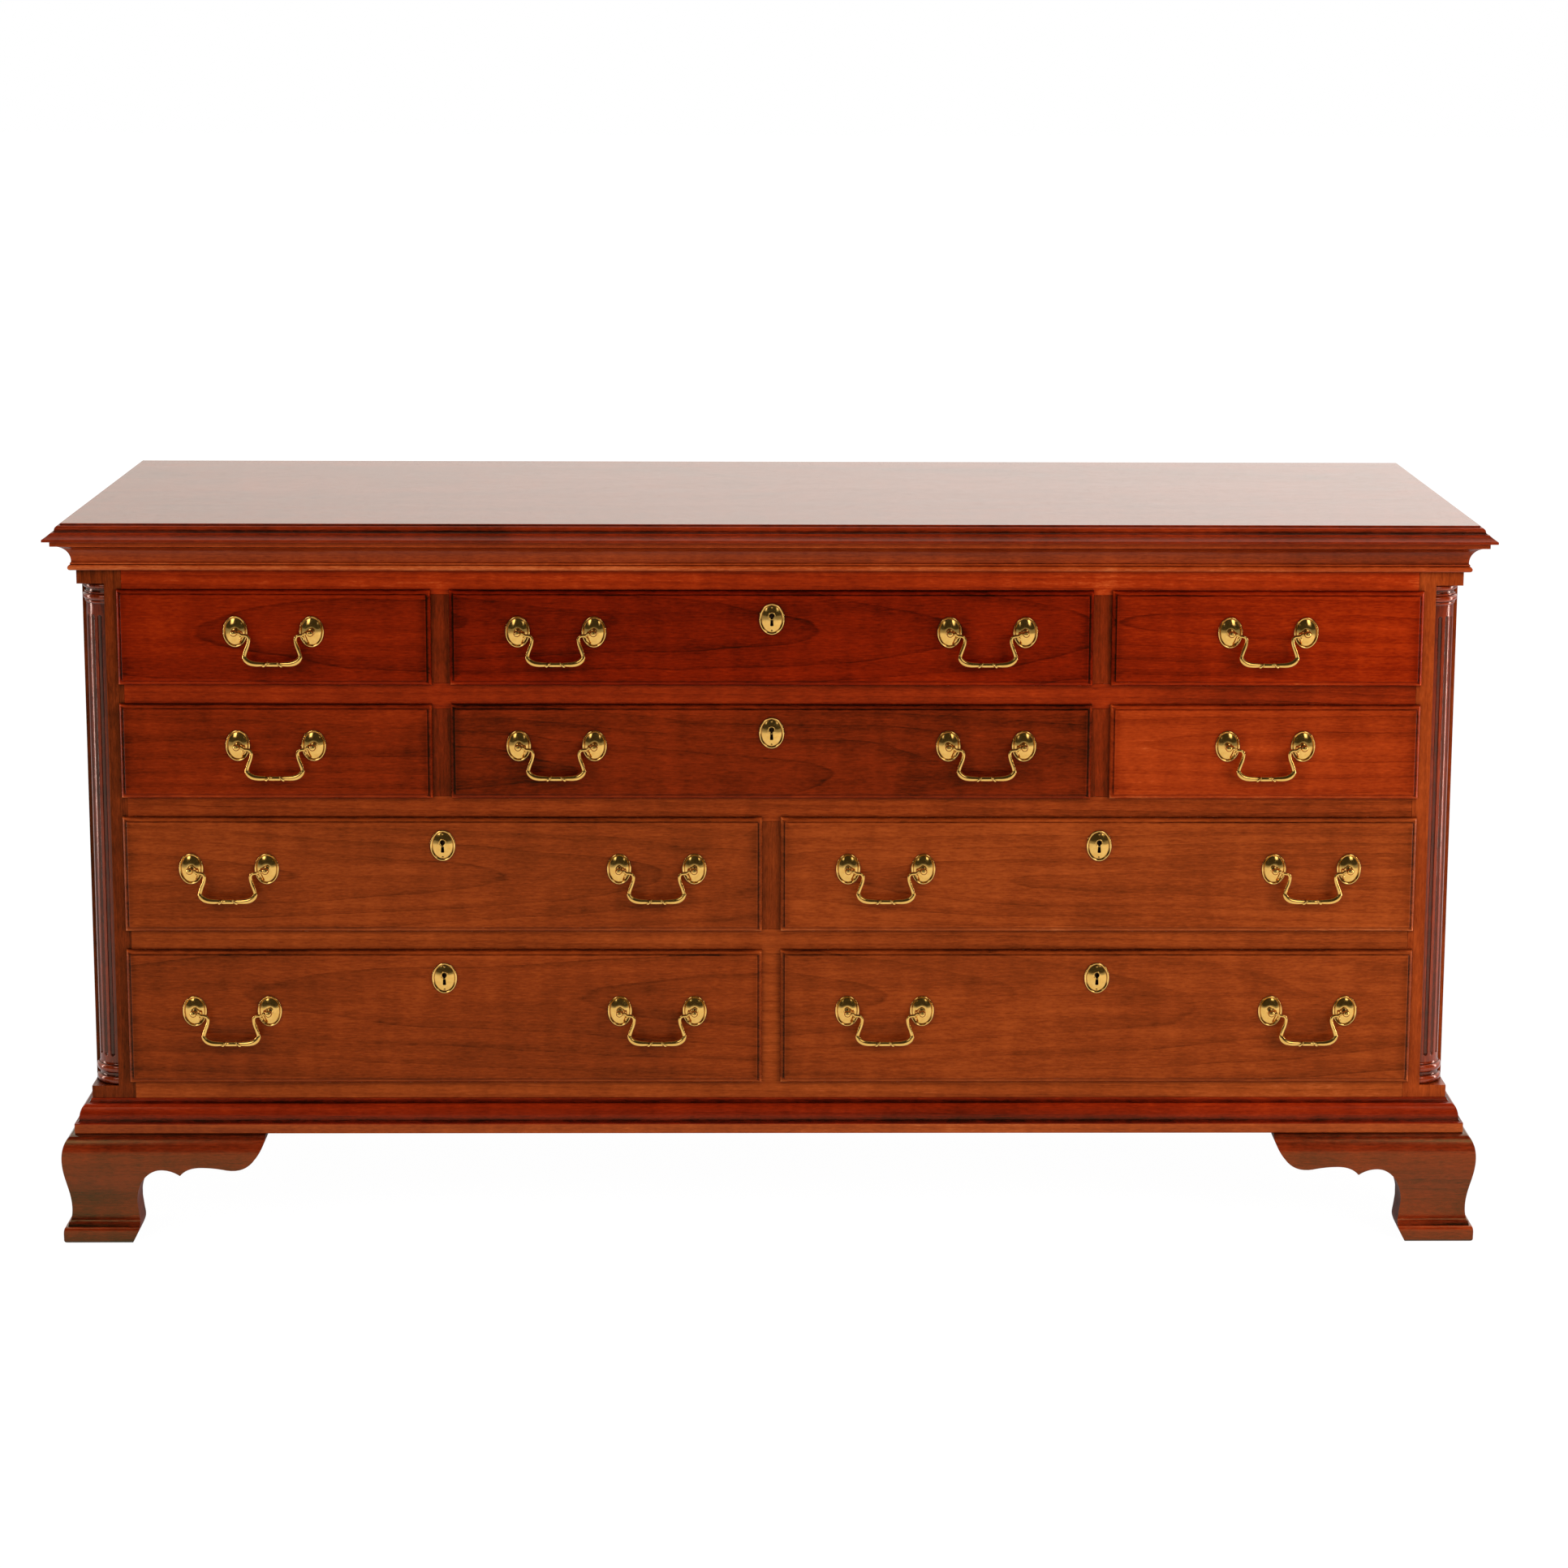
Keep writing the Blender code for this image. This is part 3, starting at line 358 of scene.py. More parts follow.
def loft(bm, rings):
    """Skins rings of equal length one after the other and closes both ends."""
    rows = [put(bm, ring) for ring in rings]
    count = len(rows[0])
    for low, high in zip(rows, rows[1:]):
        for i in range(count):
            j = (i + 1) % count
            bm.faces.new((low[i], low[j], high[j], high[i]))
    bm.faces.new(rows[0])
    bm.faces.new(list(reversed(rows[-1])))
    return bm


def prism(bm, points, axis, low, high):
    """Extrudes a flat outline along X (points are y, z), Y (x, z) or Z (x, y)."""
    def place(p, t):
        return {"X": (t, p[0], p[1]), "Y": (p[0], t, p[1]), "Z": (p[0], p[1], t)}[axis]

    return loft(bm, [[place(p, low) for p in points], [place(p, high) for p in points]])


def box(bm, x, y, z):
    return prism(bm, [(x[0], y[0]), (x[1], y[0]), (x[1], y[1]), (x[0], y[1])], "Z", z[0], z[1])


def oval(rx, rz, y, steps, centre=(0.0, 0.0), tone=0.0):
    """Ring in the XZ plane at depth y."""
    turn = 2 * pi / steps
    return [
        (centre[0] + rx * cos(i * turn), y, centre[1] + rz * sin(i * turn), tone)
        for i in range(steps)
    ]


def mesh_of(name, bm):
    bmesh.ops.recalc_face_normals(bm, faces=bm.faces)
    mesh = bpy.data.meshes.new(name)
    bm.to_mesh(mesh)
    bm.free()
    mesh.shade_smooth()
    mesh.set_sharp_from_angle(angle=SMOOTH_ANGLE)
    return mesh


def linked(name, data):
    ob = bpy.data.objects.new(name, data)
    bpy.context.collection.objects.link(ob)
    return ob


def made(name, mesh, materials, location=(0, 0, 0)):
    if not mesh.materials:
        for mat in materials:
            mesh.materials.append(mat)
    ob = linked(name, mesh)
    ob.location = location
    return ob


def cut_by(mesh, tools, operation="DIFFERENCE"):
    """Cuts tool shapes from a mesh, or joins them to it, and returns the result."""
    ob = linked("blank", mesh)
    helpers = []
    for i, bm in enumerate(tools):
        tool = linked(f"tool_{i}", mesh_of(f"tool_{i}", bm))
        helpers.append(tool)
        mod = ob.modifiers.new("cut", "BOOLEAN")
        mod.operation = operation
        mod.solver = "EXACT"
        mod.object = tool
    graph = bpy.context.evaluated_depsgraph_get()
    graph.update()
    result = bpy.data.meshes.new_from_object(ob.evaluated_get(graph))
    result.name = mesh.name
    for helper in helpers + [ob]:
        data = helper.data
        bpy.data.objects.remove(helper)
        bpy.data.meshes.remove(data)
    result.shade_smooth()
    result.set_sharp_from_angle(angle=SMOOTH_ANGLE)
    return result


def ride(ob, body, slot, *nodes):
    """Puts a piece on a body, in place of the solids named."""
    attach(ob, body)
    if nodes:
        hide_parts(*nodes)


def arris(ob, width, angle):
    """Rounds the edges that turn by more than an angle."""
    mod = ob.modifiers.new("arris", "BEVEL")
    mod.width = width
    mod.segments = 2
    mod.limit_method = "ANGLE"
    mod.angle_limit = radians(angle)


# Shader nodes

# Axes along, across and into a board; T is a level board
AXES = {"X": (0, 2, 1), "Y": (1, 2, 0), "Z": (2, 0, 1), "T": (0, 1, 2)}
WOOD_SHIFT = 9
BRASS_SHIFT = 3
BOARD_SHIFT = (6.0, 3.0, 3.0)

# Noises: waves per metre along, across and into a board, detail, roughness
RING_BEND = ((1.6, 7, 7), 3.0)
RING_SWAY = ((2.3, 5, 9), 2.0)
RING_RIPPLE = ((14, 60, 60), 2.0)
RING_BREAKS = ((9, 40, 40), 2.0)
STREAK = ((3.2, 70, 70), 3.0)
FIBRE = ((60, 560, 560), 2.0, 0.6)
BLOTCH = ((2.4, 7, 7), 3.0, 0.6)
CURL = ((38, 12, 12), 1.0)
MOTTLE = ((130, 420, 420), 2.0, 0.7)
PORES = ((120, 1150, 1150), 1.0)
SWELL = ((5, 14, 14), 1.0)
BRASS_CLOUDS = ((160, 160, 160), 3.0)
BRASS_GRIT = ((900, 900, 900), 2.0)

# Ranges: low and high of a value, and what they become
BROKEN = (-0.1, 0.1, 0.35, 1.0)
EARLY_WOOD = (0.45, 0.95, 0.0, 0.35)
LATE_WOOD = (0.90, 0.965, 0.0, 0.75)
RING_END = (0.97, 1.0, 1.0, 0.0)
PATCHES = (-0.08, 0.12, 0.1, 1.0)
PORE_CUT = (0.07, 0.28, 0.0, 1.0)

# Growth rings: how their line leans along the board, and how far they ripple
RING_LEAN = 0.012
RING_WOBBLE = 0.0022

# Shares of the layers in the wood's lightness
STREAK_SHARE = 0.34
FINE_SHARE = 0.34
CURL_SHARE = 0.24
# The tone layer carries glaze, wear, painted shade and painted highlights; the next two set the
# ambient-occlusion painted shade
TONE_SHARE = -0.5
PAINTED_SHADE_SHARE = -0.42
PAINTED_SHADE_REACH = 0.02
BOARD_SHARE = 0.10
WOOD_MIDDLE = 0.5

# Roughness and bumps: shares of the layers, then a bump's strength and distance
FIBRE_ROUGH = 0.10
PORE_ROUGH = 0.05
PORE_DEPTH = -0.6
SWELL_HEIGHT = 5.0
WOOD_BUMP = (0.35, 0.00012)
BRASS_MIDDLE = 0.58
BRASS_CLOUD = 0.7
BRASS_TONE = -0.55
BRASS_GLOSS = 0.13
BRASS_ROUGH = 0.10
BRASS_WAVE = 2.0
BRASS_BUMP = (0.08, 0.00005)

# Colour stops: place, red stain, brown stain
STAIN = (
    (0.00, (0.006, 0.0008, 0.0002), (0.006, 0.0014, 0.0005)),
    (0.24, (0.068, 0.0026, 0.0003), (0.074, 0.0100, 0.0016)),
    (0.50, (0.155, 0.0070, 0.0006), (0.165, 0.0235, 0.0036)),
    (0.76, (0.270, 0.0180, 0.0014), (0.275, 0.0480, 0.0074)),
    (1.00, (0.460, 0.0800, 0.0150), (0.430, 0.1150, 0.0300)),
)
BARE = (
    (0.00, (0.12, 0.045, 0.016)),
    (0.24, (0.34, 0.165, 0.065)),
    (0.50, (0.54, 0.30, 0.125)),
    (0.76, (0.67, 0.40, 0.180)),
    (1.00, (0.76, 0.52, 0.280)),
)
BRASS = (
    (0.00, (0.15, 0.060, 0.007)),
    (0.45, (0.82, 0.44, 0.080)),
    (0.90, (0.97, 0.60, 0.160)),
)


def node(tree, kind, values=None, **settings):
    """Adds a shader node; values are numbers or other nodes' output sockets."""
    new = tree.nodes.new(f"ShaderNode{kind}")
    for key, value in settings.items():
        setattr(new, key, value)
    for key, value in (values or {}).items():
        if isinstance(value, bpy.types.NodeSocket):
            tree.links.new(value, new.inputs[key])
        else:
            new.inputs[key].default_value = value
    return new


def maths(tree, operation, a, b=0.0, c=0.0, clamp=False):
    return node(tree, "Math", {0: a, 1: b, 2: c}, operation=operation, use_clamp=clamp).outputs[0]


def vectors(tree, operation, a, b=(0.0, 0.0, 0.0), out="Vector"):
    return node(tree, "VectorMath", {0: a, 1: b}, operation=operation).outputs[out]


def layered(tree, value, *layers):
    """Adds a share of each layer to a value."""
    for layer, share in layers:
        value = maths(tree, "MULTIPLY_ADD", layer, share, value)
    return value


def remapped(tree, value, limits, smooth=False):
    """Brings a value from one range to another; limits are low, high, start and end."""
    low, high, start, end = limits
    new = node(tree, "MapRange", {"Value": value, 1: low, 2: high, 3: start, 4: end})
    if smooth:
        new.interpolation_type = "SMOOTHERSTEP"
    return new.outputs[0]


def stretched_noise(tree, space, scale, detail=2.0, roughness=0.55):
    """Noise of about zero mean; scale is waves per metre along, across and into the board."""
    looks = {"Vector": vectors(tree, "MULTIPLY", space, scale), "Scale": 1.0}
    looks |= {"Detail": detail, "Roughness": roughness}
    noise = node(tree, "TexNoise", looks)
    return maths(tree, "SUBTRACT", noise.outputs["Fac"], 0.5)


def coloured(tree, shader, value, stops):
    """Turns a value into the shader's colour by way of colour stops."""
    ramp = node(tree, "ValToRGB", {0: value})
    places = ramp.color_ramp.elements
    while len(places) < len(stops):
        places.new(0.5)
    for element, (place, colour) in zip(places, stops):
        element.position = place
        element.color = (*colour, 1.0)
    tree.links.new(ramp.outputs[0], shader.inputs["Base Color"])


def bumped(tree, shader, height, strength, distance):
    bump = node(tree, "Bump", {"Strength": strength, "Distance": distance, "Height": height})
    tree.links.new(bump.outputs[0], shader.inputs["Normal"])


def shader_of(name):
    mat = bpy.data.materials.new(name)
    mat.use_nodes = True
    return mat, mat.node_tree, mat.node_tree.nodes["Principled BSDF"]


def grain_space(tree, axis, seed, board_width):
    """Position in the wood: along, across and into the board, moved for each board."""
    where = node(tree, "TexCoord").outputs["Object"]
    split = node(tree, "SeparateXYZ", {0: where}).outputs
    a, b, c = AXES[axis]
    plain = node(tree, "CombineXYZ", {0: split[a], 1: split[b], 2: split[c]}).outputs[0]
    rng = random.Random(seed)
    shift = Vector([rng.uniform(-WOOD_SHIFT, WOOD_SHIFT) for _ in range(3)])
    space, board = plain, None
    if board_width:
        index = maths(tree, "FLOOR", maths(tree, "DIVIDE", split[b], board_width))
        lot = node(tree, "TexWhiteNoise", {"W": index}, noise_dimensions="1D")
        board = maths(tree, "SUBTRACT", lot.outputs["Value"], 0.5)
        moved = vectors(tree, "MULTIPLY", lot.outputs["Color"], BOARD_SHIFT)
        space = vectors(tree, "ADD", space, moved)
    return plain, vectors(tree, "ADD", space, shift), board


def growth_rings(tree, plain, space, heart, gap, wander):
    """Thin late-wood lines: distance to the tree's heart line, bent by slow noise."""
    heart_across, heart_depth, tilt = heart
    across = vectors(tree, "DOT_PRODUCT", plain, (RING_LEAN, 1, 0), "Value")
    depth = vectors(tree, "DOT_PRODUCT", plain, (tilt, 0, 1), "Value")
    slow, slower, small, breaks = (
        stretched_noise(tree, space, *noise) for noise in (RING_BEND, RING_SWAY, RING_RIPPLE, RING_BREAKS))
    across = layered(tree, across, (slow, wander))
    depth = layered(tree, depth, (slower, wander))
    offset = node(tree, "CombineXYZ", {0: 0.0, 1: across, 2: depth}).outputs[0]
    offset = vectors(tree, "SUBTRACT", offset, (0, heart_across, heart_depth))
    radius = layered(tree, vectors(tree, "LENGTH", offset, out="Value"), (small, RING_WOBBLE))
    phase = maths(tree, "FRACT", maths(tree, "DIVIDE", radius, gap))
    line = remapped(tree, phase, LATE_WOOD)
    for part in (remapped(tree, breaks, BROKEN), remapped(tree, slower, PATCHES)):
        line = maths(tree, "MULTIPLY", line, part)
    line = maths(tree, "ADD", line, remapped(tree, phase, EARLY_WOOD, smooth=True))
    return maths(tree, "MULTIPLY", line, remapped(tree, phase, RING_END))


def wood(name, axis, colours, seed, heart=(0.0, -0.25, 0.02), gap=0.012, wander=0.03, figure=0.21,
         fleck=0.12, gloss=0.24, board_width=0.0, lighter=0.0, tint=(1.0, 0.36, 0.12), shine=0.32,
         cloud=0.46, fine=1.0, ripple=1.0):
    """Stained and lacquered wood. Colours run from the darkest stain to rubbed edges with painted
    highlights; the tone attribute adds glaze, wear, painted shade and painted highlights, and an
    ambient-occlusion term adds painted shade.
    """
    mat, tree, shader = shader_of(name)
    plain, space, board = grain_space(tree, axis, seed, board_width)
    rings = growth_rings(tree, plain, space, heart, gap, wander)
    streak, fibre, blotch, curl, mottle, pores, swell = (
        stretched_noise(tree, space, *noise)
        for noise in (STREAK, FIBRE, BLOTCH, CURL, MOTTLE, PORES, SWELL))
    pores = remapped(tree, pores, PORE_CUT)
    tone = node(tree, "Attribute", attribute_name="tone").outputs["Fac"]
    # Ambient occlusion darkens the colour in nooks and near other parts: painted shade
    occlusion = node(tree, "AmbientOcclusion", {"Distance": PAINTED_SHADE_REACH}, samples=4)
    painted_shade = maths(tree, "SUBTRACT", 1.0, occlusion.outputs["AO"])
    layers = [
        (streak, STREAK_SHARE), (fibre, FINE_SHARE * fine), (blotch, cloud), (curl, CURL_SHARE * ripple),
        (mottle, FINE_SHARE * fine), (rings, -figure), (pores, -fleck), (tone, TONE_SHARE),
        (painted_shade, PAINTED_SHADE_SHARE),
    ]
    if board:
        layers.append((board, BOARD_SHARE))
    coloured(tree, shader, layered(tree, WOOD_MIDDLE + lighter, *layers), colours)
    rough = layered(tree, gloss, (fibre, FIBRE_ROUGH), (pores, PORE_ROUGH))
    tree.links.new(rough, shader.inputs["Roughness"])
    height = layered(tree, fibre, (pores, PORE_DEPTH), (swell, SWELL_HEIGHT))
    bumped(tree, shader, height, *WOOD_BUMP)
    shader.inputs["Specular IOR Level"].default_value = shine
    shader.inputs["Specular Tint"].default_value = (*tint, 1.0)
    return mat


def stain(brown):
    """Colour stops of the stain, darkest first, from red (0) to brown (1)."""
    return [
        (place, tuple(a * (1 - brown) + b * brown for a, b in zip(warm, dull)))
        for place, warm, dull in STAIN
    ]


def polished_brass(name, seed):
    mat, tree, shader = shader_of(name)
    where = node(tree, "TexCoord").outputs["Object"]
    rng = random.Random(seed)
    shift = Vector([rng.uniform(-BRASS_SHIFT, BRASS_SHIFT) for _ in range(3)])
    space = vectors(tree, "ADD", where, shift)
    clouds = stretched_noise(tree, space, *BRASS_CLOUDS)
    grit = stretched_noise(tree, space, *BRASS_GRIT)
    tone = node(tree, "Attribute", attribute_name="tone").outputs["Fac"]
    value = layered(tree, BRASS_MIDDLE, (clouds, BRASS_CLOUD), (tone, BRASS_TONE))
    coloured(tree, shader, value, BRASS)
    rough = layered(tree, BRASS_GLOSS, (clouds, BRASS_ROUGH), (tone, BRASS_ROUGH))
    tree.links.new(rough, shader.inputs["Roughness"])
    bumped(tree, shader, layered(tree, grit, (clouds, BRASS_WAVE)), *BRASS_BUMP)
    for key, value in {"Metallic": 1.0, "Coat Weight": 0.6, "Coat Roughness": 0.06}.items():
        shader.inputs[key].default_value = value
    return mat


# Case mouldings: profiles of (u, z), u outwards from the case face, from the top down


def top_profile():
    out = PROJECTION - TOP_ROLL
    points = [(out - TOP_FLAT, TOP_SURFACE), (out, TOP_SURFACE)]
    points.append((out + TOP_FILLET[0], TOP_SURFACE - TOP_FILLET[1]))
    stepped(points, (TOP_OVOLO, "u"), (TOP_COVE, "z"))
    u, z = points[-1]
    low = CORNICE_TOP + TOP_NOSE
    points += bend((u, z), (u + TOP_SLOPE_BEND[0], z - TOP_SLOPE_BEND[1]), (PROJECTION, low), 8)
    points += [(PROJECTION, CORNICE_TOP), (PROJECTION - TOP_UNDER, CORNICE_TOP)]
    return toned(softened(points, MOULDING_ARRIS))


def cornice_profile():
    fillet_out, fillet_high = CORNICE_FILLET
    top = CORNICE_TOP - GAP
    cove_top = CORNICE_TOP - fillet_high
    cove_low = cove_top - COVE_HEIGHT
    bead_mid = FRIEZE_TOP + BEAD_RADIUS
    bead_in = BEAD_OUT - BEAD_RADIUS
    points = [(GAP, top), (fillet_out, top), (fillet_out, cove_top)]
    points.append((fillet_out - COVE_INSET, cove_top))
    points += quarter((fillet_out - COVE_INSET, cove_top), (COVE_DEEP, cove_low), "u", 18)
    bead_high = bead_mid + BEAD_RADIUS
    points.append((COVE_DEEP, bead_high + 2 * STRING_RADIUS))
    half_round(points, COVE_DEEP + STRING_RADIUS, -2 * STRING_RADIUS, 4)
    points += quarter((bead_in, bead_high), (BEAD_OUT, bead_mid), "u", 7)
    points += quarter((BEAD_OUT, bead_mid), (bead_in, FRIEZE_TOP), "z", 7)
    points.append((GAP, FRIEZE_TOP))
    # The bead's points are made lighter: painted light where the bead sits in shade under the cove
    return [
        (u, z, t - BEAD_PAINTED_LIGHT if u > bead_in and z < bead_high else t)
        for u, z, t in toned(softened(points, CORNICE_ARRIS))
    ]


def base_profile():
    low = FOOT_HEIGHT + GAP
    points = [(GAP, BASE_TOP), (BASE_FILLET, BASE_TOP)]
    stepped(points, (BASE_CAVETTO, "z"), (BASE_OVOLO, "u"), (BASE_COVE, "z"))
    points += [(points[-1][0], low), (GAP, low)]
    return toned(softened(points, MOULDING_ARRIS))


def side_run(mesh):
    """Gives the second material to what lies beyond the mitres, on the left and right."""
    for face in mesh.polygons:
        x, y, _ = face.center
        if abs(x) - CASE_HALF > CASE_FRONT - y:
            face.material_index = 1


def section(profile, side, y=None):
    """The profile as a ring on one side, at depth y or else at the mitre."""
    return [(side * (CASE_HALF + u), CASE_FRONT - u if y is None else y, z, t) for u, z, t in profile]


def around_case(name, profile):
    """Mitred sweep of a profile round the left side, the front and the right side."""
    stations = ((-1, CASE_BACK), (-1, None), (1, None), (1, CASE_BACK))
    mesh = mesh_of(name, loft(bmesh.new(), [section(profile, *station) for station in stations]))
    side_run(mesh)
    return mesh


def build_mouldings(mats):
    rings = []
    for u, z, t in top_profile():
        half, front, back = CASE_HALF + u, CASE_FRONT - u, DEPTH / 2
        rings.append([(-half, front, z, t), (half, front, z, t), (half, back, z, 0), (-half, back, z, 0)])
    mesh = mesh_of("top", loft(bmesh.new(), rings))
    for face in mesh.polygons:
        if abs(face.normal.z) < LEVEL:
            face.material_index = 2 if abs(face.normal.x) > abs(face.normal.y) else 1
    ride(made("top", mesh, [mats["top"], mats["edge_x"], mats["edge_y"]]), "case", "top_wood", "top_board")
    for name, profile, node_name in (
            ("cornice", cornice_profile(), "cornice_moulding"), ("base", base_profile(), "base_moulding")):
        mesh = around_case(name, profile)
        woods = [mats[f"{name}_x"], mats[f"{name}_y"]]
        # The upright strip low on the base gets the lighter, browner copy of the stain: painted light
        if name == "base":
            woods += [mats["strip_x"], mats["strip_y"]]
            for face in mesh.polygons:
                if face.center.z < BASE_STRIP and abs(face.normal.z) < UPRIGHT:
                    face.material_index += 2
        ride(made(name, mesh, woods), "case", "case_wood", node_name)


# Quarter columns


def column_profile():
    """Turned outline (radius, z) from the base up; the shaft's rows come with it."""
    low, high = COLUMN_LOW + GAP, COLUMN_HIGH - GAP
    points = [(NECK_RADIUS, low)]
    half_round(points, RING_RADIUS, TORUS_HEIGHT)
    half_round(points, NECK_RADIUS - SHAFT_STEP, FILLET_HEIGHT, 4)
    half_round(points, RING_RADIUS, TORUS_HEIGHT)
    r, z = points[-1]
    points += quarter((r + SHAFT_LEDGE, z + SHAFT_STEP), (SHAFT_RADIUS, z + FILLET_HEIGHT), "u", 5)
    start = high - CAPITAL_TORUS - CAPITAL_WAIST[0] - sum(tall for tall, _ in CAPITAL_RINGS)
    for end, sign in ((FLUTE_LOW, 1), (FLUTE_HIGH, -1)):
        steps = [FLUTE_RADIUS * (1 - cos(radians(15 * k))) for k in range(7)]
        points += sorted((SHAFT_RADIUS, end + sign * s) for s in steps)
    points += [(SHAFT_RADIUS, start - SHAFT_STEP), (NECK_RADIUS, start)]
    for tall, radius in CAPITAL_RINGS:
        half_round(points, radius, tall)
    tall, waist = CAPITAL_WAIST
    half_round(points, waist, tall, 4)
    half_round(points, RING_RADIUS, CAPITAL_TORUS)
    return points


def flute_angles():
    """Angles round the quarter, close together in the flutes."""
    first = (radians(90) - FLUTE_PITCH * (FLUTES - 1)) / 2
    centre = SHAFT_RADIUS + FLUTE_RADIUS - FLUTE_DEPTH
    edge = acos((SHAFT_RADIUS ** 2 + centre ** 2 - FLUTE_RADIUS ** 2) / (2 * SHAFT_RADIUS * centre))
    middles = [first + k * FLUTE_PITCH for k in range(FLUTES)]
    angles = {0.0, radians(90)}
    for mid in middles:
        angles |= {mid + edge * share for share in (-1, -0.85, -0.6, -0.3, 0, 0.3, 0.6, 0.85, 1)}
    for a, b in zip([-FLUTE_PITCH] + middles, middles + [radians(90) + FLUTE_PITCH]):
        for share in (0.42, 0.5, 0.58):
            t = a + (b - a) * share
            if 0 < t < radians(90):
                angles.add(t)
    return sorted(angles), middles, centre


def flute_depth(angle, z, middles, centre):
    """How far the fluted surface lies below the shaft at an angle and height."""
    past = max(FLUTE_LOW + FLUTE_RADIUS - z, z - FLUTE_HIGH + FLUTE_RADIUS, 0.0)
    if past >= FLUTE_RADIUS:
        return 0.0
    radius2 = FLUTE_RADIUS ** 2 - past ** 2
    for mid in middles:
        off = radius2 - (centre * sin(angle - mid)) ** 2
        if off > 0:
            return max(0.0, SHAFT_RADIUS - (centre * cos(angle - mid) - sqrt(off)))
    return 0.0


def build_column(side, mat):
    name = SIDES[side]
    angles, middles, centre = flute_angles()
    cx, cy = side * (CASE_HALF - NOTCH + GAP), CASE_FRONT + NOTCH - GAP
    rings = []
    profile = [(-r, z) for r, z in column_profile()]
    tones = {round(z, 7): t for _, z, t in toned(profile, strength=RING_TONES)}
    for r, z in column_profile():
        ring = [(cx, cy, z, 0.0)]
        for a in angles:
            deep = flute_depth(a, z, middles, centre) if r == SHAFT_RADIUS else 0.0
            # Deeper parts of the flutes get darker: painted shade
            tone = tones.get(round(z, 7), 0.0) + deep / FLUTE_DEPTH * FLUTE_PAINTED_SHADE
            ring.append((cx + side * (r - deep) * cos(a), cy - (r - deep) * sin(a), z, tone))
        rings.append(ring)
    mesh = mesh_of(f"column_{name}", loft(bmesh.new(), rings))
    ride(made(f"column_{name}", mesh, [mat]), "case", "case_wood", f"quarter_column_{name}")


# Feet


def foot_shade(u, z):
    """Painted shade under the base moulding and in the throat above the pad, and darker down the leg."""
    under = max(0.0, 1 - (FOOT_HEIGHT - z) / UNDER_SHADE[0]) * UNDER_SHADE[1]
    leg = LEG_SHADE[1] if FOOT_PAD_Z < z < FOOT_ANKLE_Z + LEG_SHADE[0] else 0.0
    low, high = FOOT_PAD_Z - 0.0005, FOOT_PAD_Z + FOOT_THROAT[1]
    throat = THROAT_SHADE if 0 < u < PROJECTION - FOOT_TOE[0] and low < z < high else 0.0
    return under + max(leg, throat)


def foot_profile():
    """Ogee bracket section: shoulder, swelling, hollow ankle and rounded pad."""
    wide = PROJECTION
    ankle = wide - FOOT_ANKLE
    shoulder_in, shoulder_high = FOOT_SHOULDER
    swell = (wide, FOOT_HEIGHT - shoulder_high)
    points = [(wide - shoulder_in, FOOT_HEIGHT)]
    points += quarter(points[0], swell, "u", 14)
    points += wave(swell, (ankle, FOOT_ANKLE_Z), 18)
    throat = (ankle + FOOT_THROAT[0], FOOT_PAD_Z + FOOT_THROAT[1])
    points += quarter(points[-1], throat, "z", 8)
    points += [(throat[0] + FOOT_PAD_LEDGE, FOOT_PAD_Z), (wide - FOOT_PAD_ROUND[0], FOOT_PAD_Z)]
    points += quarter(points[-1], (wide, FOOT_PAD_Z - FOOT_PAD_ROUND[1]), "u", 8)
    points += quarter((wide, FOOT_TOE[1]), (wide - FOOT_TOE[0], 0.0), "z", 6)
    points += [(-FOOT_BACK, 0.0), (-FOOT_BACK, FOOT_HEIGHT)]
    return [(u, z, t + foot_shade(u, z)) for u, z, t in toned(points)]


def bracket_void(reach):
    """Region under a bracket: (distance from the foot's outer face, z), leg to tip."""
    def at(across, up):
        return (FOOT_LEG + across * (reach - FOOT_LEG), up * FOOT_HEIGHT)

    points = [(LEG_LINE[0][0], -PAST)] + spline(LEG_LINE, 4)
    points += quarter(points[-1], at(*SCROLL_CROWN), "z", 14)
    for control, end in SCROLL_BENDS:
        points += bend(points[-1], at(*control), at(*end), 8)
    points += [(reach + PAST, points[-1][1]), (reach + PAST, -PAST)]
    return points


def side_scroll(side, start, direction):
    outline = [(start + direction * a, z) for a, z in bracket_void(FOOT_REACH_SIDE)]
    xs = sorted((side * (WIDTH / 2 + PAST), side * (CASE_HALF - FOOT_BACK - PAST)))
    return prism(bmesh.new(), outline, "X", *xs)


def glue_block(side, y):
    xs = sorted((side * (WIDTH / 2 - LEG_LINE[0][0]), side * (CASE_HALF - FOOT_BACK + OVERLAP)))
    return box(bmesh.new(), xs, y, (FOOT_BLOCK_LIFT, FOOT_HEIGHT))


def foot_piece(name, mesh, mats, node_name):
    side_run(mesh)
    for face in mesh.polygons:
        x, _, up = face.normal
        outward = max(-face.normal.y, x * copysign(1, face.center.x))
        if outward < SAWN_FACING[0] and up < SAWN_FACING[1]:
            face.material_index = 2
    ob = made(name, mesh, mats)
    arris(ob, FOOT_ARRIS, 50)
    ride(ob, "case", "case_wood", node_name)


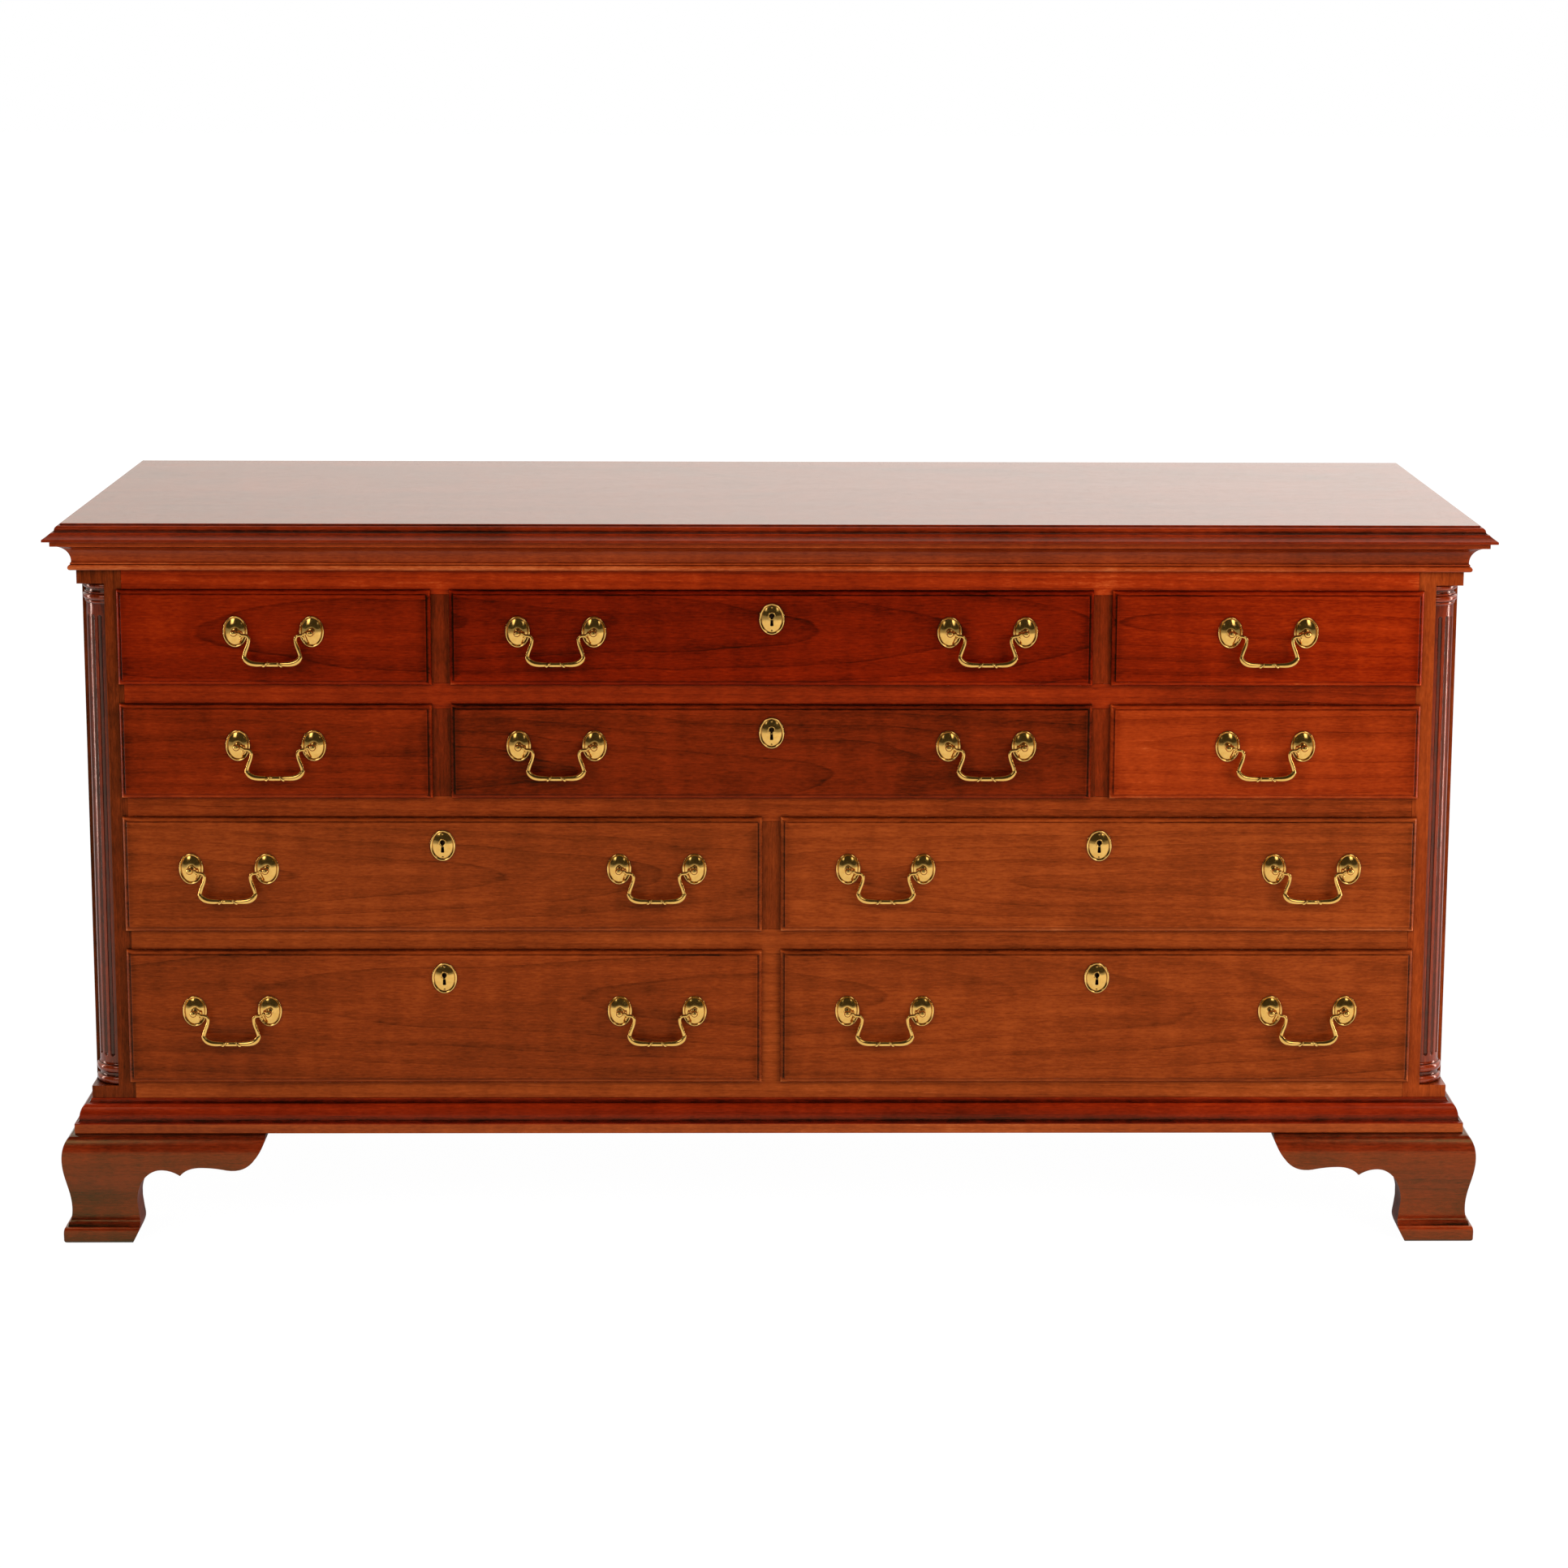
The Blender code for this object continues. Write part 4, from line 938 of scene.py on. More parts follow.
def front_foot(side, mats):
    name = SIDES[side]
    profile = foot_profile()
    edge, front = WIDTH / 2, -DEPTH / 2
    side_end, front_end = front + FOOT_REACH_SIDE, edge - FOOT_REACH_FRONT
    rings = [
        section(profile, side, side_end),
        section(profile, side),
        [(side * front_end, CASE_FRONT - u, z, t) for u, z, t in profile],
    ]
    mesh = mesh_of(f"foot_front_{name}_shape", loft(bmesh.new(), rings))
    inner = CASE_FRONT + FOOT_BACK
    mesh = cut_by(mesh, [glue_block(side, (inner - OVERLAP, inner + FOOT_BLOCK))], "UNION")
    outline = [(side * (edge - a), z) for a, z in bracket_void(FOOT_REACH_FRONT)]
    scroll = prism(bmesh.new(), outline, "Y", front - PAST, inner + FOOT_BLOCK + PAST)
    mesh = cut_by(mesh, [scroll, side_scroll(side, front, 1)])
    foot_piece(f"bracket_front_{name}", mesh, mats, f"foot_front_{name}")


def rear_foot(side, mats):
    name = SIDES[side]
    profile = foot_profile()
    edge, back = WIDTH / 2, CASE_BACK
    rings = [section(profile, side, y) for y in (back - FOOT_REACH_SIDE, back)]
    mesh = mesh_of(f"foot_rear_{name}_shape", loft(bmesh.new(), rings))
    inner = back - FOOT_REAR_BOARD
    start = CASE_HALF - FOOT_BACK + OVERLAP
    leg, reach = edge - FOOT_LEG, edge - FOOT_REACH_REAR
    outline = [(start, 0.0), (leg, 0.0), (leg, REAR_BOARD_SPRING), (reach, FOOT_HEIGHT - REAR_BOARD_TIP)]
    outline += [(reach, FOOT_HEIGHT), (start, FOOT_HEIGHT)]
    board = prism(bmesh.new(), [(side * a, z) for a, z in outline], "Y", inner, back)
    mesh = cut_by(mesh, [glue_block(side, (inner - FOOT_BLOCK, inner + OVERLAP)), board], "UNION")
    mesh = cut_by(mesh, [side_scroll(side, back, -1)])
    foot_piece(f"bracket_rear_{name}", mesh, mats, f"foot_rear_{name}")


# Drawer fronts


def front_sections(width, height):
    """(depth, half width, low, high, tones) of the lipped board from its back to its face.

    The tones are those at the sides, along the top and along the bottom.
    """
    half, low, high = width / 2, -LIP_BOTTOM, height + LIP_TOP
    lip_half, plug_half = half + LIP_SIDE, half - SIDE_CLEAR
    plug_low, plug_high = FRONT_CLEAR, height - FRONT_CLEAR
    rise = FACE_PROUD - THUMB_STEP - LIP_EDGE
    # The lip's back, against the case, is darker: painted shade
    sections = [
        (PLUG_DEPTH, plug_half, plug_low, plug_high, (0.0,) * 3),
        (-GAP, plug_half, plug_low, plug_high, (0.6,) * 3),
        (-GAP, lip_half - LIP_BACK, low + LIP_BACK, high - LIP_BACK, (0.7,) * 3),
        (-GAP - LIP_BACK, lip_half, low, high, (0.3,) * 3),
    ]
    thumb = [(0.0, LIP_ROUND), (0.0, LIP_EDGE)]
    thumb += quarter((0.0, LIP_EDGE), (THUMB_WIDTH, LIP_EDGE + rise), "z", 10)
    flat = THUMB_WIDTH + LIP_ARRIS
    thumb += quarter(thumb[-1], (flat, FACE_PROUD), "z", 5)
    thumb += [(flat + d, FACE_PROUD) for d in FACE_MARKS]
    for (inset, out), *tones in zip(thumb, LIP_TONES, LIP_TOP_TONES, LIP_LOW_TONES, strict=True):
        sections.append((-out, lip_half - inset, low + inset, high - inset, tones))
    return sections


def tail_sockets(width, height):
    """Half-blind sockets for the tails of both drawer sides."""
    bm = bmesh.new()
    half = width / 2 - SIDE_CLEAR
    tall = height - BOX_TOP_CLEAR
    count = max(2, round(tall / TAIL_PITCH))
    pitch = tall / count
    back, tip = PLUG_DEPTH + GAP, PLUG_DEPTH - TAIL_LENGTH - GAP
    wide = pitch / 4 + 2 * GAP + TAIL_FLARE
    root = pitch / 4 + 2 * GAP - TAIL_FLARE
    for side in (-1, 1):
        xs = sorted((side * (half - BOX_SIDE - GAP), side * (half + GAP)))
        for k in range(count):
            mid = GAP + (k + 0.5) * pitch
            outline = [(back, mid - root), (tip, mid - wide), (tip, mid + wide), (back, mid + root)]
            prism(bm, outline, "X", *xs)
    return bm


def keyhole(z, front, back):
    """Round eye above a slot that widens downwards."""
    eye, low = z + KEY_RISE, z - KEY_SLOT_END
    top, bottom = KEY_SLOT
    start = asin(top / KEY_RADIUS)
    flat = bottom * KEY_SLOT_FLAT
    points = [(flat, low), (-flat, low), (-bottom, low + KEY_SLOT_ROUND)]
    for i in range(KEY_STEPS + 1):
        a = -pi / 2 - start - 2 * (pi - start) * i / KEY_STEPS
        points.append((KEY_RADIUS * cos(a), eye + KEY_RADIUS * sin(a)))
    points.append((bottom, low + KEY_SLOT_ROUND))
    return prism(bmesh.new(), points, "Y", front, back)


def build_front(tag, centre, low, width, height, keyed, mat, bare):
    rings = []
    for y, half, a, b, (side_tone, top_tone, low_tone) in front_sections(width, height):
        corners = [(-half, a), (half, a), (half, b), (-half, b)]
        edge = half > width / 2 + LIP_SIDE - CORNER_EDGE[0] and y < -CORNER_EDGE[1]
        ring = []
        for (x0, z0), (x1, z1) in zip(corners, corners[1:] + corners[:1]):
            span = hypot(x1 - x0, z1 - z0)
            tone = top_tone if z0 == z1 == b else low_tone if z0 == z1 == a else side_tone
            rubbed = tone - CORNER_RUB if edge else tone
            marks = [(0.0, rubbed)]
            for away, share in CORNER_MARKS:
                marks.append((away / span, tone + (rubbed - tone) * share))
            marks += [(1 - s, v) for s, v in reversed(marks[1:])]
            ring += [(x0 + (x1 - x0) * s, y, z0 + (z1 - z0) * s, v) for s, v in marks]
        rings.append(ring)
    mesh = mesh_of(f"front_{tag}_shape", loft(bmesh.new(), rings))
    tools = [tail_sockets(width, height)]
    if keyed:
        tools.append(keyhole(height + LIP_TOP - ESCUTCHEON_DROP, -FACE_PROUD - KEY_PAST, KEY_DEPTH))
    mesh = cut_by(mesh, tools)
    mesh.transform(Matrix.Translation((centre, CASE_FRONT, low)))
    mesh.materials.clear()
    for face in mesh.polygons:
        face.material_index = 1 if face.center.y > CASE_FRONT + GAP else 0
    ride(made(f"front_{tag}", mesh, [mat, bare]), f"drawer_{tag}", "front_wood", f"drawer_front_{tag}")


# Brass. Shapes lie in front of a drawer's face at y = 0 and face towards -Y.

# Rim of a plate from its back edge inwards: inset, height, tone
RIM = (
    (0.0, -PLATE_SINK, 0.0), (0.0, 0.0004, 0.2), (0.0002, 0.0011, 0.0), (0.0007, 0.0017, -0.3),
    (0.0013, 0.0019, -0.4), (0.0019, 0.0017, -0.3), (0.0024, 0.0012, 0.2), (0.0027, 0.0008, 0.9),
    (0.0031, 0.0007, 0.9), (0.0036, 0.0009, 0.3),
)
DOME_STEPS = 12

# Turned parts: radius, distance out, tone
POST = (
    (0.0040, 0.0024, 0.6), (0.0044, 0.0036, 0.5), (0.0044, 0.0040, -0.2), (0.0040, 0.0045, -0.3),
    (0.0032, 0.0047, 0.3), (POST_NECK, 0.0052, 0.9), (POST_NECK, 0.0088, 0.8),
)
NAIL = (
    (0.0012, 0.0008, 0.9), (0.0012, 0.0019, 0.8), (0.0009, 0.0022, 0.6), (0.0005, 0.0024, 0.4),
    (0.0001, 0.0024, 0.4),
)

# Half a bail from the ball inwards, in millimetres: distance from the ball's middle, height, radius;
# then slant and tone
PIN = ((1.9, 0, 1.25, 0, 0.5), (4.4, 0, 1.25, 0, 0.8))
NECK = (
    (4.5, 0, 1.6, 0, 0.6), (5.4, -0.1, 2.0, 0, 0), (6.4, -0.5, 2.0, 0, 0), (7.6, -1.3, 1.7, 0, 0.3),
    (9.8, -2.2, 1.8, 0, 0), (12.7, -2.5, 1.9, 0, 0), (15.4, -3.2, 2.0, 0, -0.1), (17.2, -5.7, 2.1, 0, 0),
    (17.4, -9.4, 2.1, 0, 0), (16.3, -14.0, 2.2, 0, 0), (14.5, -18.6, 2.4, 0, 0),
    (12.8, -23.4, 2.5, 0, 0), (12.1, -26.5, 2.5, 0.3, 0.5),
)
CORNER = (
    (12.1, -26.8, 2.9, 0.2, -0.3), (12.3, -28.7, 3.3, 0, 0), (13.8, -31.4, 3.7, 0, 0),
    (16.7, -33.8, 3.9, 0, 0), (20.6, -35.4, 3.9, 0, 0), (25.8, -36.2, 3.7, 0, 0),
    (31.2, -36.4, 3.3, 0.3, 0), (34.5, -36.6, 3.1, 0.7, 0.6),
)
COLLAR = (
    (35.0, -36.6, 3.6, 0.7, 0.1), (35.7, -36.6, 3.9, 0.7, -0.4), (36.7, -36.6, 4.0, 0.7, -0.4),
    (37.4, -36.6, 3.6, 0.7, 0.1), (37.9, -36.6, 3.1, 0.7, 0.7), (39.2, -36.6, 3.1, 0.4, 0),
    (41.2, -36.6, 3.2, 0.1, 0), (44.25, -36.6, 3.2, 0, 0),
)
BEAK = (
    (11.2, -2.8, 1.3, 0, 0.1), (9.2, -3.6, 1.5, 0, 0.1), (7.8, -5.2, 1.3, 0, 0.1), (7.5, -7.0, 0.9, 0, 0.1),
    (8.0, -8.3, 0.4, 0, 0.1),
)
WIRE_SIDES = 16


def plate_rings(rx, rz, crown, steps):
    """Raised rim, groove and domed middle of an oval plate, from its back edge inwards."""
    rings = [oval(rx - inset, rz - inset, -out, steps, tone=tone) for inset, out, tone in RIM]
    inset, low, _ = RIM[-1]
    for k in range(1, DOME_STEPS + 1):
        t = k / DOME_STEPS
        wide, tall = ((r - inset) * (1 - t) + crown * t for r in (rx, rz))
        rings.append(oval(wide, tall, -(low + (PLATE_DOME - low) * sin(t * pi / 2) ** 0.9), steps))
    return rings


def turned(bm, profile, steps=24, centre=(0.0, 0.0)):
    """Turned shape about a line along Y; the profile is (radius, distance out, tone)."""
    loft(bm, [oval(r, r, -out, steps, centre, tone) for r, out, tone in profile])


def absorb(bm, mesh):
    bm.from_mesh(mesh)
    bpy.data.meshes.remove(mesh)


def rosette_mesh():
    """Oval rosette with its ball post; the pin's hole faces +X."""
    bm = bmesh.new()
    loft(bm, plate_rings(*ROSETTE, ROSETTE_CROWN, PLATE_STEPS))
    profile = list(POST)
    for k in range(17):
        a = radians(BALL_SPAN[0] + BALL_SPAN[1] * k / 16)
        profile.append((max(BALL_RADIUS * cos(a), 0.0002), PIVOT_OUT + BALL_RADIUS * sin(a), 0.0))
    post = bmesh.new()
    turned(post, profile)
    angles = [radians(30 * k) for k in range(12)]
    rings = [
        [(x, -PIVOT_OUT + SOCKET_RADIUS * cos(a), SOCKET_RADIUS * sin(a)) for a in angles]
        for x in SOCKET_ENDS
    ]
    absorb(bm, cut_by(mesh_of("post", post), [loft(bmesh.new(), rings)]))
    return mesh_of("rosette", bm)


def escutcheon_mesh():
    """Domed keyhole plate with its two nails and a raised line round the eye."""
    plate = bmesh.new()
    loft(plate, plate_rings(*ESCUTCHEON, ESCUTCHEON_CROWN, ESCUTCHEON_STEPS))
    bm = bmesh.new()
    absorb(bm, cut_by(mesh_of("plate", plate), [keyhole(0.0, *ESCUTCHEON_CUT)]))
    for z in (NAIL_RISE, -NAIL_RISE):
        turned(bm, NAIL, 14, (0.0, z))
    rings = []
    for i in range(33):
        a = radians(LOOP_SPAN[0] + LOOP_SPAN[1] * i / 32)
        ring = []
        for k in range(8):
            b = radians(45 * k)
            out = LOOP_RADIUS + LOOP_WIRE * cos(b)
            y = -PLATE_DOME + 0.0001 - LOOP_WIRE * sin(b)
            ring.append((out * cos(a), y, KEY_RISE + out * sin(a), -0.2))
        rings.append(ring)
    loft(bm, rings)
    return mesh_of("escutcheon", bm)


def metres(knots):
    return [(d / 1000, z / 1000, r / 1000, slant, tone) for d, z, r, slant, tone in knots]


def tube(bm, line):
    """Round wire of changing radius in the XZ plane; a slant leans its ring along the line."""
    rings = []
    for i, (x, z, r, slant, tone) in enumerate(line):
        before, after = line[max(i - 1, 0)], line[min(i + 1, len(line) - 1)]
        dx, dz = after[0] - before[0], after[1] - before[1]
        length = hypot(dx, dz)
        tx, tz = dx / length, dz / length
        ring = []
        for k in range(WIRE_SIDES):
            a = 2 * pi * k / WIRE_SIDES
            c, s = r * cos(a), r * sin(a)
            ring.append((x - tz * c + tx * slant * c, s, z + tx * c + tz * slant * c, tone))
        rings.append(ring)
    loft(bm, rings)


def bail_mesh():
    post = PULL_SPACING / 2
    line = metres(PIN)
    for knots, steps in ((NECK, 4), (CORNER, 4), (COLLAR, 3)):
        line += spline(metres(knots), steps)
    half = [(d - post, z, r, slant, tone) for d, z, r, slant, tone in line]
    other = [(-x, z, r, -slant, tone) for x, z, r, slant, tone in reversed(half[:-1])]
    bm = bmesh.new()
    tube(bm, half + other)
    for side in (-1, 1):
        tube(bm, [(side * (post - d), *rest) for d, *rest in spline(metres(BEAK), 4)])
    return mesh_of("bail", bm)


def pull_middles(width, wide):
    reach = width / 2 - PULL_MARGIN
    return [-reach, reach] if wide else [0.0]


def build_hardware(tag, centre, low, width, height, wide, protos, mat):
    rosette, plate, bail = protos
    bm = bmesh.new()
    face = CASE_FRONT - FACE_PROUD
    pull_z = low + (height + LIP_TOP - LIP_BOTTOM) / 2 + PULL_RISE
    middles = pull_middles(width, wide)

    def stamp(mesh, x, z, flip=False):
        start = len(bm.verts)
        bm.from_mesh(mesh)
        bm.verts.ensure_lookup_table()
        for vert in bm.verts[start:]:
            sign = -1 if flip else 1
            vert.co = (x + sign * vert.co.x, face + vert.co.y, z + vert.co.z)

    for k, mid in enumerate(middles):
        for side in (-1, 1):
            stamp(rosette, centre + mid + side * PULL_SPACING / 2, pull_z, flip=side > 0)
        suffix = "" if len(middles) == 1 else ("_a", "_b")[k]
        name = f"bail_{tag}{suffix}"
        ob = made(f"handle_{tag}{suffix}", bail.copy(), [mat], (centre + mid, face - PIVOT_OUT, pull_z))
        ride(ob, name, "brass", name)
    if wide:
        stamp(plate, centre, low + height + LIP_TOP - ESCUTCHEON_DROP)
    ob = made(f"plates_{tag}", mesh_of(f"plates_{tag}", bm), [mat])
    ride(ob, f"drawer_{tag}", "brass")


# Stage

LENS = 75.82
SHIFT = (-0.0150, -0.17)
EYE = (-0.0109, -4.0140, 1.4731)
YAW, PITCH, ROLL = (radians(turn) for turn in (0.788, 9.07, 0.226))
WALL_LEFT = (1.12, 1.04, 0.95, 1)
WALL_RIGHT = (1.56, 1.47, 1.38, 1)
ROOM = (0.045, 0.042, 0.034, 1)
WHITE = (1, 1, 1, 1)
WALL_EDGE = (-0.2, 0.3, 0.0, 1.0)
WALL_SPREAD = (-0.2, 0.2, 0.0, 1.0)
ROOM_GLOW = (-0.1, 0.5, 0.22, 0.62)
FLOOR_COLOUR = (0.42, 0.42, 0.42, 1.0)
FLOOR_ROUGH = 0.7
FLOOR_SHINE = 0.1
FLOOR_GLOW = 1.10
FLOOR_HALF = 30
FLOOR_HEIGHTS = (-0.03, -0.0002)
FLOOR_SEEN = (1.2, 5.0, 0.89, 1.0)
FLOOR_MIRRORED = (2.7, 3.2, 0.6, 0.12)


def build_camera():
    data = bpy.data.cameras.new("camera")
    data.sensor_width = 36.0
    data.lens = LENS
    data.shift_x, data.shift_y = SHIFT
    data.clip_end = 200
    ahead = Vector((sin(YAW) * cos(PITCH), cos(YAW) * cos(PITCH), -sin(PITCH)))
    right = Vector((cos(YAW), -sin(YAW), 0.0))
    up = right.cross(ahead)
    x = right * cos(ROLL) + up * sin(ROLL)
    y = up * cos(ROLL) - right * sin(ROLL)
    camera = linked("camera", data)
    turn = Matrix((x, y, -ahead)).transposed().to_4x4()
    camera.matrix_world = Matrix.Translation(EYE) @ turn
    bpy.context.scene.camera = camera


def area_light(name, place, target, size, watts, mirrored=False, spread=180):
    data = bpy.data.lights.new(name, "AREA")
    data.spread = radians(spread)
    data.shape = "RECTANGLE"
    data.size, data.size_y = size
    data.energy = watts
    light = linked(name, data)
    light.visible_glossy = mirrored
    light.visible_camera = False
    light.location = place
    light.rotation_euler = (Vector(target) - Vector(place)).to_track_quat("-Z", "Y").to_euler()


def mixed(tree, share, a, b):
    return node(tree, "Mix", {0: share, 6: a, 7: b}, data_type="RGBA").outputs[2]


def build_world():
    """White where the camera sees it and behind the object, a dim room in front of it."""
    world = bpy.data.worlds.new("studio")
    bpy.context.scene.world = world
    world.use_nodes = True
    tree = world.node_tree
    tree.nodes.clear()
    path = node(tree, "LightPath").outputs
    way = node(tree, "TexCoord").outputs["Generated"]
    split = node(tree, "SeparateXYZ", {0: way}).outputs
    wall = mixed(tree, remapped(tree, split["X"], WALL_SPREAD), WALL_LEFT, WALL_RIGHT)
    mirrored = maths(tree, "MAXIMUM", path["Is Glossy Ray"], path["Is Transmission Ray"])
    rear = remapped(tree, split["Y"], ROOM_GLOW)
    soft = node(tree, "CombineColor", {0: rear, 1: rear, 2: rear}).outputs[0]
    dim = mixed(tree, mirrored, soft, ROOM)
    behind = maths(tree, "MULTIPLY", mirrored, remapped(tree, split["Y"], WALL_EDGE))
    seen = mixed(tree, path["Is Camera Ray"], mixed(tree, behind, dim, wall), WHITE)
    background = node(tree, "Background", {"Color": seen, "Strength": 1.0})
    out = node(tree, "OutputWorld")
    tree.links.new(background.outputs[0], out.inputs[0])


def build_floor():
    """Pale floor that reads as white to the camera and keeps the object's shadow."""
    half = (-FLOOR_HALF, FLOOR_HALF)
    mesh = mesh_of("floor", box(bmesh.new(), half, half, FLOOR_HEIGHTS))
    mat, tree, shader = shader_of("floor")
    shader.inputs["Base Color"].default_value = FLOOR_COLOUR
    shader.inputs["Roughness"].default_value = FLOOR_ROUGH
    shader.inputs["Specular IOR Level"].default_value = FLOOR_SHINE
    path = node(tree, "LightPath").outputs
    white = node(tree, "Emission", {"Color": WHITE, "Strength": FLOOR_GLOW})
    where = node(tree, "TexCoord").outputs["Object"]
    away = vectors(tree, "LENGTH", where, out="Value")
    share = maths(tree, "MULTIPLY", path["Is Camera Ray"], remapped(tree, away, FLOOR_SEEN))
    near = remapped(tree, away, FLOOR_MIRRORED)
    share = maths(tree, "MULTIPLY_ADD", path["Is Glossy Ray"], near, share, clamp=True)
    mix = node(tree, "MixShader", {0: share, 1: shader.outputs[0], 2: white.outputs[0]})
    tree.links.new(mix.outputs[0], tree.nodes["Material Output"].inputs[0])
    made("floor", mesh, [mat])


def build_stage():
    build_camera()
    build_world()
    build_floor()
    area_light("window", (-2.4, -3.0, 2.5), (0, -0.25, 0.5), (1.8, 1.6), 52)
    area_light("right", (2.2, -2.0, 1.5), (0.5, -0.25, 0.5), (1.6, 1.6), 70)
    area_light("front", (0.2, -3.9, 1.0), (0, -0.25, 0.4), (2.6, 1.6), 34)
    for side, watts in ((-1, 14), (1, 18)):
        area_light(
            f"strip_{side}", (side * 2.5, -0.15, 0.7), (side * 0.8, -0.2, 0.5), (0.30, 1.5), watts,
            mirrored=True)
    for side in (-1, 1):
        area_light(f"overhead_{side}", (side * 1.5, -0.7, 2.8), (side * 0.9, -0.2, 0.4), (0.8, 0.5), 15)
        area_light(
            f"high_{side}", (side * 1.80, -2.55, 1.95), (side * 0.75, -0.26, 0.35), (0.95, 1.15), 0.7,
            mirrored=True, spread=46)


# Whole object

# Share of brown in the red stain, and how much lighter than the middle, of each drawer front; the
# right-hand fronts are made lighter partly as painted light from the right, on top of each board's own tone
FRONT_STAIN = {
    "row1_left": (0.06, -0.04), "row1_centre": (0.00, -0.08), "row1_right": (0.06, 0.03),
    "row2_left": (0.32, -0.08), "row2_centre": (0.38, -0.14), "row2_right": (0.36, 0.10),
    "row3_left": (1.0, 0.00), "row3_right": (1.0, 0.07),
    "row4_left": (0.95, -0.01), "row4_right": (1.0, 0.02),
}

# Looks that woods share
PLAIN = {}
TOP = {"heart": (0.1, -0.06, 0.03), "board_width": 0.107, "gloss": 0.17, "shine": 0.6, "cloud": 0.14}
PANEL = {"heart": (0.0, -0.86, 0.03), "figure": 0.16}
FINISHED = {"gloss": 0.17, "fleck": 0.08, "cloud": 0.6, "figure": 0.12}
BRACKET = {"shine": 0.6, "tint": (1.0, 0.77, 0.30), **FINISHED}
MOULDED = {"shine": 0.4, "tint": (1.0, 0.42, 0.22), **FINISHED}
TURNED = {"gloss": 0.11, "shine": 0.8, "tint": (1.0, 0.6, 0.45), "fleck": 0.05, "figure": 0.1}
SAWN = {"gloss": 0.55, "shine": 0.1}
RAW = {
    "gloss": 0.5, "shine": 0.3, "tint": (1.0, 1.0, 1.0), "cloud": 0.15, "figure": 0.4, "fine": 0.4,
    "ripple": 0.0, "lighter": 0.1,
}
BACK = {"heart": (0.2, 0.30, 0.02), "gap": 0.03, "wander": 0.12}

# Stained woods: axis of the grain, share of brown, seed, how much lighter, looks
STAINED = {
    "top": ("T", 1.0, 11, -0.05, TOP),
    # top_rail is made lighter to offset the cornice's shadow on it: painted light
    "top_rail": ("X", 0.05, 23, 0.23, PLAIN),
    "dust_shelf_upper": ("X", 0.15, 29, 0.08, PLAIN),
    "dust_shelf_middle": ("X", 0.8, 30, 0.10, PLAIN),
    "dust_shelf_lower": ("X", 1.0, 33, 0.12, PLAIN),
    "bottom_board": ("X", 1.0, 35, 0.17, PLAIN),
    # The right corner post is lighter than the left because more light falls from the right: painted light
    "corner_post_left": ("Z", 0.9, 31, -0.12, PLAIN),
    "corner_post_right": ("Z", 0.8, 32, 0.12, PLAIN),
    "divider_row3": ("Z", 0.95, 39, 0.02, PLAIN),
    "divider": ("Z", 0.4, 37, -0.10, PLAIN),
    "side_panel": ("Z", 0.6, 41, 0.0, PANEL),
    # The right column is lighter than the left because more light falls from the right: painted light
    "column_left": ("Z", 0.6, 43, -0.14, TURNED),
    "column_right": ("Z", 0.5, 44, -0.02, TURNED),
    "edge_x": ("X", 0.35, 45, -0.12, MOULDED),
    "edge_y": ("Y", 0.35, 46, -0.12, MOULDED),
    # The cornice is made lighter to offset the shade on its bead: painted light
    "cornice_x": ("X", 0.6, 47, 0.13, MOULDED),
    "cornice_y": ("Y", 0.6, 53, 0.10, MOULDED),
    # One moulding, two copies of its stain: base_x and base_y, darker and redder, on the up-facing shapes,
    # and strip_x and strip_y, lighter and browner, on the upright strip that faces the floor's light; the
    # difference is painted light
    "base_x": ("X", 0.15, 48, -0.10, MOULDED),
    "base_y": ("Y", 0.15, 54, -0.10, MOULDED),
    "strip_x": ("X", 1.0, 57, 0.10, MOULDED),
    "strip_y": ("Y", 1.0, 58, 0.10, MOULDED),
    "foot_x": ("X", 0.35, 59, -0.06, BRACKET),
    "foot_y": ("Y", 0.35, 61, -0.06, BRACKET),
    "sawn": ("X", 1.0, 63, -0.16, SAWN),
}
UNSTAINED = {"back_panel": ("Z", 67, BACK), "drawer_box": ("Y", 71, PLAIN), "bare": ("X", 73, PLAIN)}

# Woods of the solids that stay, by how the solids' names start
NODE_WOODS = (
    "top_rail", "dust_shelf_upper", "dust_shelf_middle", "dust_shelf_lower", "bottom_board",
    "corner_post_left", "corner_post_right", "divider_row3", "divider", "side_panel", "back_panel",
    "drawer_box",
)
SOLID_ARRIS = 0.0004

# Drawer fronts: how heart lines and growth rings vary, and the shine from red to brown
HEART_RISE = (-0.04, 0.04)
HEART_DEEP = (0.02, 0.06)
HEART_LEAN = (0.03, 0.08)
RING_GAP = (0.012, 0.019)
FRONT_SHINE = (0.12, 0.22)


